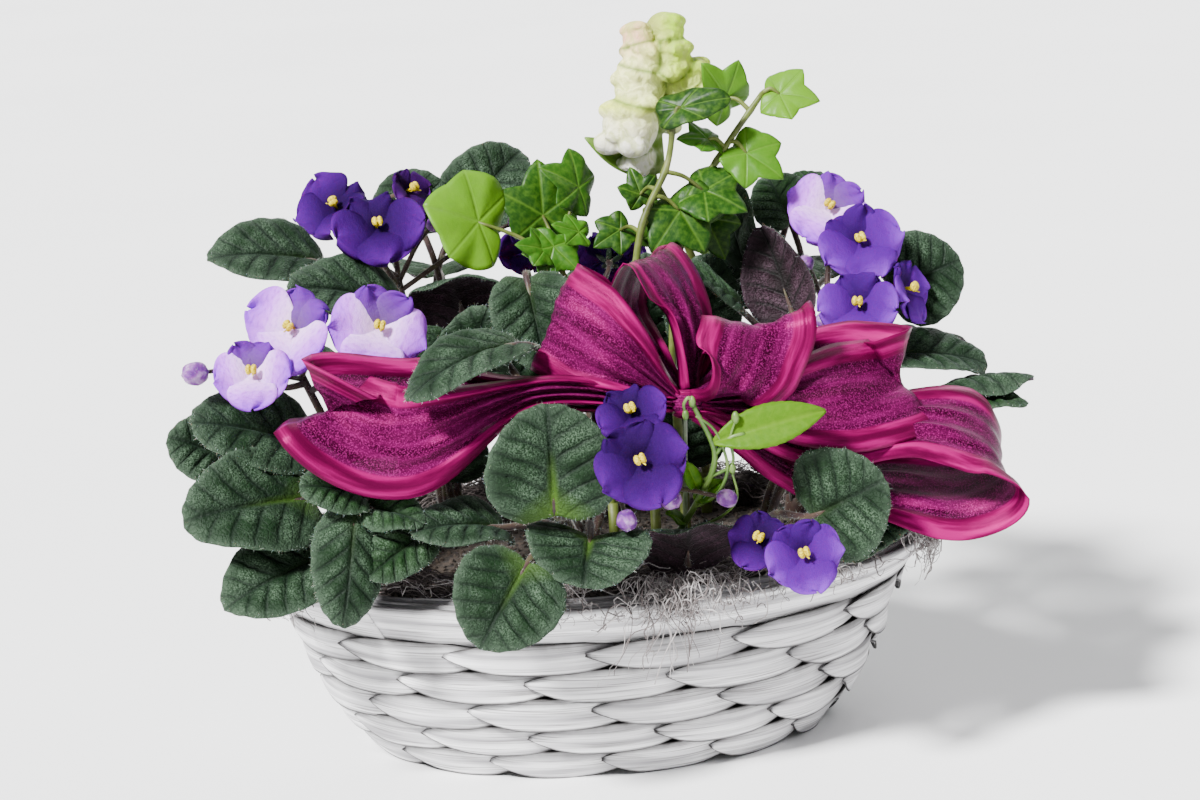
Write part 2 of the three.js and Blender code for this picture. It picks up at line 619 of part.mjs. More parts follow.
        face: [-0.2, -0.92, 0.35], lip: LIP_DOWN, radius: 18, finish: midViolet },
      { centre: [145, -12, 196], face: [0.85, -0.5, 0.15], lip: LIP_DOWN, radius: 16, finish: midViolet },
    ],
    buds: [[102, 0, 208, 3.6], [106, -16, 185, 4], [133, -16, 178, 4]],
  },
  back_middle: {
    crown: [8, 60],
    leaves: [
      { heel: [8, 104, 164], tip: [6, 152, 154], face: [0, 0.5, 0.85], width: 44 },
      { heel: [-24, 98, 146], tip: [-40, 142, 130], face: [-0.2, 0.6, 0.8], width: 42 },
      { heel: [44, 100, 148], tip: [60, 142, 134], face: [0.2, 0.6, 0.8], width: 42 },
      { heel: [8, 98, 122], tip: [4, 138, 98], face: [0, 0.8, 0.6], width: 42 },
      { heel: [33, 44, 158], tip: [34, 33, 210], face: [0, -0.9, 0.35], width: 42 },
      { heel: [56, 35, 166], tip: [61, 28, 210], face: [0.1, -0.9, 0.3], width: 36 },
      { heel: [6, 38, 158], tip: [2, 30, 206], face: [-0.05, -0.9, 0.35], width: 42 },
      { heel: [-26, 30, 140], tip: [-34, 16, 184], face: [-0.1, -0.9, 0.35], width: 42 },
      { heel: [42, 38, 108], tip: [46, 30, 152], face: [0, -0.9, 0.35], width: 46 },
    ],
    hub: [6, 92, 178],
    blooms: [
      { centre: [-12, 106, 204], face: [-0.1, 0.85, 0.5], lip: LIP_DOWN, radius: 19 },
      { centre: [24, 108, 196], face: [0.2, 0.9, 0.4], lip: LIP_DOWN, radius: 18 },
    ],
    buds: [[4, 96, 214, 4]],
  },
};

const CROWN_SIDE = 88; // height of the lowest petioles
const CROWN_TOP = 98;
for (const [place, { crown, leaves, hub, blooms, buds }] of Object.entries(VIOLETS)) {
  const crownTop = [...crown, CROWN_TOP - 2];
  const parts = [footStem(crown, CROWN_RADIUS, CROWN_TOP), ...leaves.map(violetBlade)];
  leaves.forEach((leaf, i) => {
    parts.push(petiole([...crown, CROWN_SIDE], leaf, (i % 3) * PETIOLE_STAGGER));
  });
  parts.push(stalk(new THREE.LineCurve3(vec(crownTop), vec(hub)), ...STEM_RADII, 1, 5));
  const fork = vec(hub).sub(vec(crownTop)).setLength(STALK_SPACING);
  blooms.forEach((bloom, i) => {
    const mouth = calyxMouth(bloom);
    const neck = mouth.clone().addScaledVector(vec(bloom.face).normalize(), -NECK);
    const start = vec(hub).addScaledVector(fork, -i);
    const bend = start.clone().lerp(neck, 0.5).add(new THREE.Vector3(0, 0, -4));
    parts.push(flowerStalk([start, bend, neck, mouth], CALYX_RADIUS));
  });
  buds.forEach(([x, y, z, size], i) => {
    const start = vec(hub).addScaledVector(fork, -i - 0.5);
    const top = new THREE.Vector3(x, y, z);
    const bend = start.clone().lerp(top, 0.6).add(new THREE.Vector3(0, 0, 3));
    parts.push(flowerStalk([start, bend, top], 1), bud([x, y, z, size]));
  });
  piece(`violet_${place}_foliage`, fuse(parts), violetGreen);
  blooms.forEach((bloom, i) => {
    piece(`violet_${place}_bloom_${i + 1}`, petals(bloom), bloom.finish ?? darkViolet);
    piece(`violet_${place}_anthers_${i + 1}`, anthers(bloom), pollen);
  });
}

// ---- Ivy ---------------------------------------------------------------------------------

const IVY_OUTLINE = [ // turn from the tip in degrees, reach: five points with bays between them
  [0, 1], [27, 0.7], [56, 0.84], [92, 0.6], [128, 0.66], [180, 0.36],
];

const IVY_HEEL = 0.3; // where the stalk meets the blade, as a share of the leaf's length
const IVY_FOLD = 0.12;
const IVY_CURL = 0.1;

/** An ivy leaf: five points with shallow bays between, folded a little along its middle. */
function ivyBlade({ heel, tip, face, width = 0.9 }) {
  const base = vec(heel);
  const along = vec(tip).sub(base);
  const length = along.length();
  const axes = axesOf(along, face);
  const otherHalf = IVY_OUTLINE.slice(1, -1).reverse().map(([turn, reach]) => [360 - turn, reach]);
  const outline = [...IVY_OUTLINE, ...otherHalf];
  return blade(
    (out, turn) => {
      const spoke = Math.round((turn / (2 * Math.PI)) * outline.length) % outline.length;
      const [degrees, reach] = outline[spoke];
      const angle = THREE.MathUtils.degToRad(degrees);
      const x = length * (IVY_HEEL + (1 - IVY_HEEL) * out * reach * Math.cos(angle));
      const y = 0.85 * length * width * out * reach * Math.sin(angle);
      const curl = (IVY_CURL * (x - IVY_HEEL * length) ** 2) / length;
      return placed(base, axes, x, y, IVY_FOLD * Math.abs(y) - curl);
    },
    outline.length,
    1,
    BLADE_THICKNESS,
  );
}

const IVY = {
  left: {
    foot: [10, 6],
    stem: [[10, 6, 97], [6, 8, 160], [-8, 14, 214]],
    leaves: [
      { heel: [-33, 18, 229], tip: [-66, 8, 246], face: [-0.1, -0.8, 0.6], width: 1.05 },
      { heel: [-13, 26, 222], tip: [-13, 34, 258], face: [0.2, -0.85, 0.5] },
      { heel: [-8, 12, 228], tip: [-16, 0, 208], face: [0.1, -0.85, 0.5] },
      { heel: [10, 26, 240], tip: [-12, 16, 258], face: [-0.1, -0.7, 0.7] },
      { heel: [6, 6, 226], tip: [-11, 0, 234], face: [0, -0.7, 0.7], width: 0.7 },
      { heel: [-9, 10, 219], tip: [-27, 2, 226], face: [0, -0.75, 0.6], width: 0.8 },
    ],
  },
  tall: {
    foot: [28, -6],
    stem: [[28, -6, 97], [22, -8, 180], [28, -4, 230], [42, 6, 256], [46, 8, 276]],
    leaves: [
      { heel: [42, 6, 243], tip: [56, -8, 218], face: [0.1, -0.9, 0.4], width: 1 },
      { heel: [50, 10, 246], tip: [76, -4, 236], face: [0.2, -0.75, 0.6] },
      { heel: [40, 10, 278], tip: [71, 2, 286], face: [0, -0.8, 0.6], width: 0.45 },
      { heel: [25, 10, 230], tip: [7, 2, 222], face: [0, -0.85, 0.5], width: 0.8 },
      { heel: [32, 14, 236], tip: [27, 20, 254], face: [0.1, -0.85, 0.4], width: 0.8 },
      { heel: [37, 8, 232], tip: [36, 0, 214], face: [0.1, -0.85, 0.5], width: 0.9 },
    ],
  },
  right: {
    foot: [44, 14],
    stem: [[44, 14, 97], [42, 14, 180], [52, 16, 232], [68, 16, 258], [88, 20, 283]],
    leaves: [
      { heel: [88, 20, 283], tip: [112, 10, 281], face: [-0.1, -0.75, 0.65], width: 1 },
      { heel: [76, 26, 274], tip: [62, 18, 298], face: [-0.1, -0.8, 0.6], width: 1 },
      { heel: [72, 16, 262], tip: [94, 4, 247], face: [0.1, -0.85, 0.5], width: 0.85 },
      { heel: [68, 18, 263], tip: [48, 10, 268], face: [-0.1, -0.6, 0.8], width: 0.75 },
      { heel: [56, 18, 236], tip: [67, 6, 212], face: [0.1, -0.85, 0.4], width: 0.8 },
    ],
  },
};

const IVY_STEM_RADII = [1.9, 1.3];
const IVY_LEAF_STALK_RADII = [1.2, 1];

for (const [place, { foot, stem, leaves }] of Object.entries(IVY)) {
  const line = new THREE.CatmullRomCurve3(stem.map(vec));
  const parts = [footStem(foot, 2.4, 102), stalk(line, ...IVY_STEM_RADII, 6, 4), ...leaves.map(ivyBlade)];
  for (const { heel, tip } of leaves) {
    const inside = vec(heel).lerp(vec(tip), 0.25);
    const along = line.getPoints(20);
    const distances = along.map((point) => point.distanceTo(inside));
    const nearest = along[distances.indexOf(Math.min(...distances))];
    const bend = nearest.clone().lerp(inside, 0.5).add(new THREE.Vector3(0, 0, 3));
    const leafLine = new THREE.QuadraticBezierCurve3(nearest, bend, inside);
    parts.push(stalk(leafLine, ...IVY_LEAF_STALK_RADII, 2, 3));
  }
  piece(`ivy_stem_${place}`, fuse(parts), ivyGreen);
}

// ---- Snapdragon --------------------------------------------------------------------------

const SNAP_FOOT = [58, 46];
const SNAP_LINE = [[58, 46, 97], [60, 46, 190], [47, 48, 228], [41, 52, 241]];
const SNAP_CORE = [[40, 48, 246], [40, 44, 284], [45, 44, 310]];
const SNAP_FLORETS = [ // middle and size; the lips turn away from the spike's core
  { at: [30, 41, 269], size: 17 }, { at: [34, 43, 254], size: 10 },
  { at: [35, 40, 286], size: 14.5 }, { at: [57, 46, 286], size: 14.5 },
  { at: [38, 40, 299], size: 12 }, { at: [49, 41, 298], size: 12.5 },
  { at: [36, 42, 308], size: 10 }, { at: [48, 43, 311], size: 10.5 },
  { at: [44, 53, 272], size: 12 }, { at: [44, 51, 293], size: 11 },
];
const THROAT_SIZE = 0.72;
const LIPS = [ // size, aside, forward and up, as shares of the floret's size
  { size: 0.66, aside: 0.45, forward: 0.35, up: 0.3 },
  { size: 0.6, aside: 0.3, forward: 0.4, up: -0.45 },
];

const snapStem = stalk(new THREE.CatmullRomCurve3(SNAP_LINE.map(vec)), 2, 1.8, 7, 5);
piece("snapdragon_stem", fuse([footStem(SNAP_FOOT, 2.6, 102), snapStem]), snapGreen);

/** A two-lipped floret: a puffed throat with an upper and a lower lip. */
function floret({ at: [x, y, z], size }) {
  const out = Math.sign(x - SNAP_CORE[1][0]);
  const throat = new THREE.IcosahedronGeometry(size * THROAT_SIZE).translate(x, y, z);
  const lips = LIPS.map((lip) => {
    const shape = new THREE.OctahedronGeometry(size * lip.size);
    shape.translate(x + size * lip.aside * out, y - size * lip.forward, z + size * lip.up);
    return solidOf(shape);
  });
  return [solidOf(throat), ...lips];
}

const spikeCore = stalk(new THREE.CatmullRomCurve3(SNAP_CORE.map(vec)), 6, 4, 3, 5);
piece("snapdragon_spike", fuse([spikeCore, ...SNAP_FLORETS.flatMap(floret)]), snapWhite);

// ---- Shoot at the front ------------------------------------------------------------------

const SHOOT_FOOT = [22, -60];
const SHOOT_LINE = [[22, -60, 92], [38, -88, 128], [44, -101, 150], [35, -108, 174]];
const SHOOT_LEAF = {
  heel: [43, -106, 157],
  along: [46, -5, 13],
  face: [-0.1, -0.85, 0.5],
  half: 24,
  width: 18,
};
const shootAxes = axesOf(vec(SHOOT_LEAF.along), SHOOT_LEAF.face);
const shootLeaf = blade(
  (out, turn) => {
    const x = SHOOT_LEAF.half * (1 + Math.cos(turn) * out);
    const y = (SHOOT_LEAF.width / 2) * Math.sin(turn) * out;
    return placed(vec(SHOOT_LEAF.heel), shootAxes, x, y, 0.15 * Math.abs(y) - 0.003 * x * x);
  },
  12,
  1,
  BLADE_THICKNESS,
);
const shootPetioleLine = new THREE.LineCurve3(vec([44, -101, 150]), vec([50, -106.5, 158.5]));
const shootPetiole = stalk(shootPetioleLine, 1.1, 1, 1, 5);
const shootStem = stalk(new THREE.CatmullRomCurve3(SHOOT_LINE.map(vec)), 1.6, 1.1, 6, 4);
const shootParts = [footStem(SHOOT_FOOT, 2.2, 96), shootStem, shootPetiole, shootLeaf];
piece("green_shoot", fuse(shootParts), shootGreen);

// ---- Bow ---------------------------------------------------------------------------------

const LOOPS = [ // each loop's middle line and the ribbon's width direction there, from the knot and back
  { // left, low over the leaves
    line: [[-26, -91, 180], [-88, -91, 163], [-115, -84, 177], [-76, -74, 174], [-34, -78, 176]],
    across: [[0, 0.1, 1], [0, 0.1, 1], [0.42, 0.6, 0.65], [0.1, 0.25, 0.96], [0.05, 0.2, 1]],
    widths: [7, 13, 49, 49, 40, 16, 7],
  },
  { // upper left
    line: [[4, -94, 194], [-18, -74, 208], [2, -64, 194]],
    across: [[0.43, -0.1, 0.9], [0.49, 0.1, 0.87], [0.43, 0.2, 0.87]],
  },
  { // top, seen nearly edge on
    line: [[14, -54, 204], [24, -60, 228], [38, -68, 206]],
    across: [[0.5, 0.85, 0.1], [0.5, 0.85, -0.1], [0.5, 0.85, 0]],
  },
  { // upper right
    line: [[54, -99, 180], [67, -84, 200], [60, -68, 182]],
    across: [[0.92, 0.2, 0.1], [0.85, 0.45, 0.2], [0.85, 0.4, 0.1]],
  },
  { // right
    line: [[86, -90, 167], [130, -70, 167], [92, -61, 172]],
    across: [[-0.05, 0.35, 0.93], [-0.4, 0.5, 0.77], [-0.1, 0.4, 0.9]],
  },
  { // far right, drooping, seen into from above
    line: [
      [88, -78, 146], [136, -80, 156], [164, -80, 145], [171, -79, 127], [154, -75, 117], [124, -69, 120],
      [88, -68, 126],
    ],
    across: [
      [0.1, -0.8, -0.4], [0.1, -0.87, -0.45], [0.1, -0.86, -0.48], [0.1, -0.85, -0.5], [0.08, -0.86, -0.46],
      [0.05, -0.87, -0.4], [0, -0.8, -0.4],
    ],
  },
];
const PLY_STEPS = 3; // between two points of a loop's line

/** One loop of the ribbon: out from the knot and back, gathered at the knot and full at its fold. */
function ribbonLoop({ line, across, widths: given }) {
  const fold = vec(line[(line.length - 1) / 2]);
  const away = fold.sub(vec(KNOT)).normalize();
  const apart = vec(line[0]).sub(vec(line[line.length - 1]));
  apart.addScaledVector(away, -apart.dot(away)).setLength(PLY_GAP_AT_KNOT);
  const start = vec(KNOT).addScaledVector(away, KNOT_RADIUS - 3);
  const stations = [start.clone().add(apart), ...line.map(vec), start.clone().sub(apart)];
  const middle = new THREE.CatmullRomCurve3(stations);
  const widths = [across[0], ...across, across[across.length - 1]].map((side) => vec(side).normalize());
  const steps = PLY_STEPS * (line.length + 1);
  const corners = [];
  for (let i = 0; i <= steps; i++) {
    const share = i / steps;
    const station = Math.min(Math.floor(i / PLY_STEPS), widths.length - 2);
    const side = widths[station].clone().lerp(widths[station + 1], i / PLY_STEPS - station);
    const along = middle.getTangent(share);
    side.addScaledVector(along, -side.dot(along)).normalize();
    const spread = Math.min(1, 1.15 * Math.sin(Math.PI * share) ** 1.5);
    const wide = given && mix(given[station], given[station + 1], i / PLY_STEPS - station);
    const half = (wide ?? mix(KNOT_WIDTH, RIBBON_WIDTH, spread)) / 2;
    corners.push(middle.getPoint(share).addScaledVector(side, -half));
    corners.push(middle.getPoint(share).addScaledVector(side, half));
  }
  const face = [];
  for (let i = 0; i < steps; i++) {
    const [a, b, c, d] = [2 * i, 2 * i + 1, 2 * i + 2, 2 * i + 3];
    face.push([a, c, b], [b, c, d]);
  }
  const ribbon = plies(corners, face, RIBBON_THICKNESS);
  // one prism for each facet: where the folded ribbon meets itself, their union is still one sound solid
  const prisms = face.map((facet) => {
    const ends = facet.flatMap((i) => [ribbon.corners[i], ribbon.corners[ribbon.count + i]]);
    return wasm.Manifold.hull(ends.map((end) => end.toArray()));
  });
  return wasm.Manifold.union(prisms);
}

const WIRE_FOOT = [34, -64];
const WIRE_RADIUS = 1;
const wireLine = new THREE.CatmullRomCurve3([
  vec([...WIRE_FOOT, 92]),
  vec([34, -72, 120]),
  vec([34, -80, 146]),
  vec([KNOT[0], KNOT[1] + 3, KNOT[2] - 3]),
]);
const knotBall = solidOf(new THREE.SphereGeometry(KNOT_RADIUS, 8, 6).translate(...KNOT));
const bow = fuse([knotBall, ...LOOPS.map(ribbonLoop)]);
const wireSocket = stalk(wireLine, WIRE_RADIUS + GAP, WIRE_RADIUS + GAP, 8, 6);
piece("ribbon_bow", fuse([bow.subtract(wireSocket)]), magenta);
const bowWire = stalk(wireLine, WIRE_RADIUS, WIRE_RADIUS, 8, 6);
piece("bow_wire", fuse([footStem(WIRE_FOOT, 1.4, 94), bowWire]), wire);

// ---- Soil and fibre ----------------------------------------------------------------------

piece("soil", bowl(linerFloor, SOIL_TOP, soilOut, SOIL_MOUND).subtract(wasm.Manifold.union(holes)), peat);

const NEST_LIFT = 1.6; // over the soil's mound

const HANKS = [ // where they spill over the rim, in degrees, how many and how far down
  { degrees: 277, count: 4, drop: 30 },
  { degrees: 180, count: 2, drop: 12 },
  { degrees: 352, count: 2, drop: 16 },
  { degrees: 90, count: 2, drop: 18 },
];
const HANK_SPACING = 3.2; // degrees
const HANK_RADII = [1.8, 0.8];

/** A point at the rim's height or any other, `out` millimetres outside the rim's outline. */
const rimPoint = (turn, out, z) =>
  new THREE.Vector3((RIM_HALF_LENGTH + out) * Math.cos(turn), (RIM_HALF_WIDTH + out) * Math.sin(turn), z);

/** The ring of wood fibre that hides the soil inside the rim, with hanks that spill over it. */
function fibreNest() {
  const sections = [];
  for (let i = 0; i < RING_STEPS; i += 2) {
    const turn = (2 * Math.PI * i) / RING_STEPS;
    const lump = 2.2 * Math.sin(7 * turn) + 1.6 * Math.cos(13 * turn + 1);
    sections.push([
      rimPoint(turn, -13, BASKET_HEIGHT + 2 - lump / 2),
      rimPoint(turn, -22, BASKET_HEIGHT + 3 + lump),
      rimPoint(turn, -32, SOIL_TOP + 7 + lump),
      rimPoint(turn, -32, SOIL_TOP + NEST_LIFT),
      rimPoint(turn, -18, SOIL_TOP + NEST_LIFT),
    ]);
  }
  const hanks = HANKS.flatMap(({ degrees, count, drop }) =>
    Array.from({ length: count }, (_, i) => {
      const turn = THREE.MathUtils.degToRad(degrees + HANK_SPACING * (i - count / 2));
      const low = BASKET_HEIGHT - drop * (0.5 + 0.5 * Math.sin(2.4 * i + 1) ** 2);
      const line = new THREE.CatmullRomCurve3([
        rimPoint(turn, -18, BASKET_HEIGHT + 2),
        rimPoint(turn, -4, BASKET_HEIGHT + 6),
        rimPoint(turn, 6, BASKET_HEIGHT + 1),
        rimPoint(turn, 5.5 + (i % 2), low),
      ]);
      return stalk(line, ...HANK_RADII, 5, 3);
    }),
  );
  return fuse([ringSolid(sections), ...hanks]);
}

piece("fibre_nest", fibreNest(), fibre);

export default root;
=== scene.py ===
import math

import bpy
import numpy as np
from mathutils import Matrix, Vector


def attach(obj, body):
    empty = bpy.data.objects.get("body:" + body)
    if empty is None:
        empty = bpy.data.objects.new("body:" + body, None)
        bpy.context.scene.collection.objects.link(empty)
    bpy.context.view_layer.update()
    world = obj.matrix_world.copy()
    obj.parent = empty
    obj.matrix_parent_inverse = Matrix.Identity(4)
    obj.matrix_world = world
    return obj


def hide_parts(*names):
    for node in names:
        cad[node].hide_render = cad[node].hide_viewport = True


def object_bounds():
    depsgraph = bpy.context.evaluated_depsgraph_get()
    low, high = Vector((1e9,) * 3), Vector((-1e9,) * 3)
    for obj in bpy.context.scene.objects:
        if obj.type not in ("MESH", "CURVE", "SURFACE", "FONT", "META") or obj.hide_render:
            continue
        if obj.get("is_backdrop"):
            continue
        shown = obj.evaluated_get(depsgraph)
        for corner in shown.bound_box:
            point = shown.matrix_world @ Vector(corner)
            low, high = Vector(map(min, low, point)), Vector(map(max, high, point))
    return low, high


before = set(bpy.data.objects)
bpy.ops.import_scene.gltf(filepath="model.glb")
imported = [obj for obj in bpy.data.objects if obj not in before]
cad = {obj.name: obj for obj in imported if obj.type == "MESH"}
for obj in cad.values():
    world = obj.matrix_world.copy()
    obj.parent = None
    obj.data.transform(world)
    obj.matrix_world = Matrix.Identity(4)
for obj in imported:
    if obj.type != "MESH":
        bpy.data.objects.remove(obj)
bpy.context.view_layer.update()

# ---- Viewpoint ---------------------------------------------------------------------------
# The arrangement is looked at from a little above the rim and a little to its left, through a
# short telephoto lens, with the picture tipped a few degrees.


def object_of(name, data):
    """A new object at the origin that holds this data."""
    made = bpy.data.objects.new(name, data)
    bpy.context.scene.collection.objects.link(made)
    return made


AIM, DISTANCE = Vector((0.006, 0, 0.152)), 1.275
azimuth, elevation, roll = math.radians(5), math.radians(14), math.radians(3)
sight = Vector((
    math.sin(azimuth) * math.cos(elevation),
    math.cos(azimuth) * math.cos(elevation),
    -math.sin(elevation),
))
level = Vector((math.cos(azimuth), -math.sin(azimuth), 0))
upright = level.cross(sight)
right = level * math.cos(roll) - upright * math.sin(roll)
up = level * math.sin(roll) + upright * math.cos(roll)
camera = object_of("camera", bpy.data.cameras.new("camera"))
camera.data.lens = 85
camera.data.sensor_width = 36
turned = Matrix((right, up, -sight)).transposed().to_4x4()
camera.matrix_world = Matrix.Translation(AIM - sight * DISTANCE) @ turned
bpy.context.scene.camera = camera

# ---- Base board and stakes ---------------------------------------------------------------
# A thin oval board of bare poplar with ten flat uprights let into its edge. The uprights are
# bent by hand and carry the weave. Only the underside and a few gaps show them.


def add(tree, kind, feeds=None, **settings):
    """A node whose sockets take a value or another node's output."""
    node = tree.nodes.new(kind)
    for key, value in settings.items():
        setattr(node, key, value)
    for key, value in (feeds or {}).items():
        if isinstance(value, bpy.types.NodeSocket):
            tree.links.new(value, node.inputs[key])
        else:
            node.inputs[key].default_value = value
    return node


def finish(name, **fixed):
    """A material and its shader, whose sockets that are the same all over are set here."""
    made = bpy.data.materials.new(name)
    made.use_nodes = True
    shader = made.node_tree.nodes["Principled BSDF"]
    for key, value in fixed.items():
        shader.inputs[key.replace("_", " ")].default_value = value
    return made, made.node_tree, shader


def group(name, takes, gives):
    """An empty shader group with its ends: takes and gives name float, vector or colour sockets."""
    made = bpy.data.node_groups.new(name, "ShaderNodeTree")
    for socket, kind in takes.items():
        made.interface.new_socket(socket, in_out="INPUT", socket_type="NodeSocket" + kind)
    for socket, kind in gives.items():
        made.interface.new_socket(socket, in_out="OUTPUT", socket_type="NodeSocket" + kind)
    return made, made.nodes.new("NodeGroupInput").outputs, made.nodes.new("NodeGroupOutput").inputs


def ramp(tree, factor, *stops):
    """A colour ramp's output. Each stop is a place and a grey or a colour."""
    node = add(tree, "ShaderNodeValToRGB", {0: factor})
    while len(node.color_ramp.elements) < len(stops):
        node.color_ramp.elements.new(0.5)
    for element, (place, colour) in zip(node.color_ramp.elements, stops):
        element.position = place
        element.color = (*colour, 1) if hasattr(colour, "__len__") else (colour, colour, colour, 1)
    return node.outputs[0]


def blend(tree, factor, first, second, how="MIX"):
    """Two colours mixed by a factor."""
    node = add(tree, "ShaderNodeMix", data_type="RGBA", blend_type=how)
    for socket, value in ((0, factor), (6, first), (7, second)):
        if isinstance(value, bpy.types.NodeSocket):
            tree.links.new(value, node.inputs[socket])
        elif socket:
            node.inputs[socket].default_value = (*value, 1)
        else:
            node.inputs[socket].default_value = value
    return node.outputs[2]


def value_of(tree, name):
    """What a point's attribute says."""
    return add(tree, "ShaderNodeAttribute", attribute_name=name).outputs["Fac"]


def place_of(tree):
    return add(tree, "ShaderNodeTexCoord").outputs["Object"]


def maths(tree, how, *values):
    return add(tree, "ShaderNodeMath", dict(enumerate(values)), operation=how).outputs[0]


def noise(tree, scale, detail=2.0, where=None, **more):
    """A noise's value, on the object's own coordinates unless another vector is given."""
    feeds = {"Vector": where or place_of(tree), "Scale": scale, "Detail": detail, **more}
    return add(tree, "ShaderNodeTexNoise", feeds).outputs[0]


def drawn_out(tree, where, scale, detail):
    """A noise that is drawn out along one part of a vector."""
    drawn = add(tree, "ShaderNodeMapping", {"Vector": where, "Scale": scale})
    return noise(tree, 1.0, detail, drawn.outputs[0])


def give(sockets, **values):
    """Each value goes to the socket of its name."""
    for name, value in values.items():
        socket = sockets[name.replace("_", " ")]
        socket.id_data.links.new(value, socket)


def bump(tree, shader, height, strength, distance):
    node = add(tree, "ShaderNodeBump", {"Height": height, "Strength": strength, "Distance": distance})
    give(shader.inputs, Normal=node.outputs[0])


def mottled(name, scale, detail, *stops, relief=None, distortion=0.0, **fixed):
    """A finish in one noise's patches. Its relief is a strength and a depth."""
    made, tree, shader = finish(name, **fixed)
    patches = noise(tree, scale, detail, Distortion=distortion)
    give(shader.inputs, Base_Color=ramp(tree, patches, *stops))
    if relief:
        bump(tree, shader, patches, *relief)
    return made


def coat(name, made):
    """A CAD node that stays in sight gets this finish."""
    cad[name].data.materials.clear()
    cad[name].data.materials.append(made)


# Wood fibres run along the strip, which is the given vector's first part.
wood_grain, taken, given = group(
    "wood grain", {"Strip": "Vector"}, {"Line": "Float", "Patch": "Float", "Relief": "Float"}
)
fine = drawn_out(wood_grain, taken["Strip"], (30, 1500, 1500), 3.0)
broad = drawn_out(wood_grain, taken["Strip"], (12, 260, 260), 2.0)
lines = ramp(wood_grain, fine, (0.52, 0.0), (0.68, 1.0))
give(given, Line=lines, Patch=ramp(wood_grain, broad, (0.35, 0.0), (0.65, 1.0)),
     Relief=maths(wood_grain, "MULTIPLY_ADD", lines, -0.5, fine))

bare_wood, tree, shader = finish("bare poplar", Roughness=0.8)
grain = add(tree, "ShaderNodeGroup", node_tree=wood_grain)
give(grain.inputs, Strip=place_of(tree))
colour = blend(tree, grain.outputs["Patch"], (0.30, 0.22, 0.14), (0.42, 0.33, 0.23))
colour = blend(tree, grain.outputs["Line"], colour, (0.16, 0.11, 0.07))
give(shader.inputs, Base_Color=colour)
bump(tree, shader, grain.outputs["Relief"], 0.4, 0.0006)
coat("basket_base_and_stakes", bare_wood)

# ---- Weave -------------------------------------------------------------------------------
# Five rows of flat poplar chip, about 14 mm wide and brushed with white lime wash. Each lap comes
# out over the end of the lap before it, bellies over a stake and tucks in under the next.

MM = 0.001
RIM_HALF_LENGTH, RIM_HALF_WIDTH = 153, 105
WALL_INSET = np.array([(0, 54), (15, 40), (29, 31), (43, 25), (57, 20), (71, 13), (90, 0)], float)
WEAVE_ROWS, WEAVE_BOTTOM, WEAVE_TOP, LAPS = 5, 1, 71, 14


def wall(turn, z, out):
    """Points on the basket's wall, out millimetres outside its face."""
    inset = np.interp(z, WALL_INSET[:, 0], WALL_INSET[:, 1])
    return np.stack([
        (RIM_HALF_LENGTH - inset + out) * np.cos(turn),
        (RIM_HALF_WIDTH - 0.75 * inset + out) * np.sin(turn),
        z + 0 * turn,
    ], -1)


class Shape:
    """Points, faces and values of one piece, gathered part by part in millimetres."""

    def __init__(self, *values):
        self.points, self.faces, self.finishes, self.count = [], [], [], 0
        self.values = {name: [] for name in values}

    def take(self, points, faces, finish_index=0, **values):
        """Values given for one side of a thin piece hold for its other side too."""
        points = np.asarray(points, float).reshape(-1, 3)
        self.points.append(points)
        self.faces += [tuple(self.count + corner for corner in face) for face in faces]
        self.finishes += [finish_index] * len(faces)
        for name, held in self.values.items():
            held.append(np.resize(np.asarray(values.get(name, 0.0), float), len(points)))
        self.count += len(points)

    def take_blade(self, points, faces, **values):
        """A leaf, whose underside has the second finish."""
        first = self.count
        self.take(points, faces[0], 0, **values)
        self.faces += [tuple(first + corner for corner in face) for face in faces[1]]
        self.finishes += [1] * len(faces[1])

    def piece(self, name, *finishes):
        mesh = bpy.data.meshes.new(name)
        mesh.from_pydata((np.concatenate(self.points) * MM).tolist(), [], self.faces)
        for made in finishes:
            mesh.materials.append(made)
        mesh.polygons.foreach_set("material_index", self.finishes)
        mesh.polygons.foreach_set("use_smooth", [True] * len(self.faces))
        for value, held in self.values.items():
            mesh.attributes.new(value, "FLOAT", "POINT").data.foreach_set("value", np.concatenate(held))
        mesh.update()
        return object_of(name, mesh)


def net(first, second):
    """Two arrays that pair each of the first's values, by rows, with each of the second's."""
    return np.meshgrid(first, second, indexing="ij")


def settle(made, slot, *replaced):
    """The piece belongs to the arrangement and stands for those nodes. Its slot is not used."""
    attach(made, "root")
    if replaced:
        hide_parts(*replaced)


def grid_faces(rows, columns, first=0, flip=False, closed=False):
    """Quads between a grid's points. A closed grid's last column meets its first."""
    faces = []
    for i in range(rows - 1):
        for j in range(columns if closed else columns - 1):
            k = (j + 1) % columns
            face = (i * columns + j, (i + 1) * columns + j, (i + 1) * columns + k, i * columns + k)
            faces.append(tuple(first + corner for corner in (face[::-1] if flip else face)))
    return faces


def normals_of(grid):
    """Unit normals of a grid of points. They are along rows x columns."""
    normals = np.cross(np.gradient(grid, axis=0), np.gradient(grid, axis=1))
    return normals / np.maximum(np.linalg.norm(normals, axis=-1, keepdims=True), 1e-9)


def thin(grid, thickness):
    """A closed thin piece over a grid of points: both faces and the edge between them."""
    rows, columns = grid.shape[:2]
    half, count = normals_of(grid) * thickness / 2, rows * columns
    faces = grid_faces(rows, columns) + grid_faces(rows, columns, count, flip=True)
    edge = list(range(columns)) + [i * columns + columns - 1 for i in range(1, rows)]
    edge += [(rows - 1) * columns + j for j in range(columns - 2, -1, -1)]
    edge += [i * columns for i in range(rows - 2, 0, -1)]
    for a, b in zip(edge, edge[1:] + edge[:1]):
        faces.append((a, b, count + b, count + a))
    return np.concatenate([(grid + half).reshape(-1, 3), (grid - half).reshape(-1, 3)]), faces


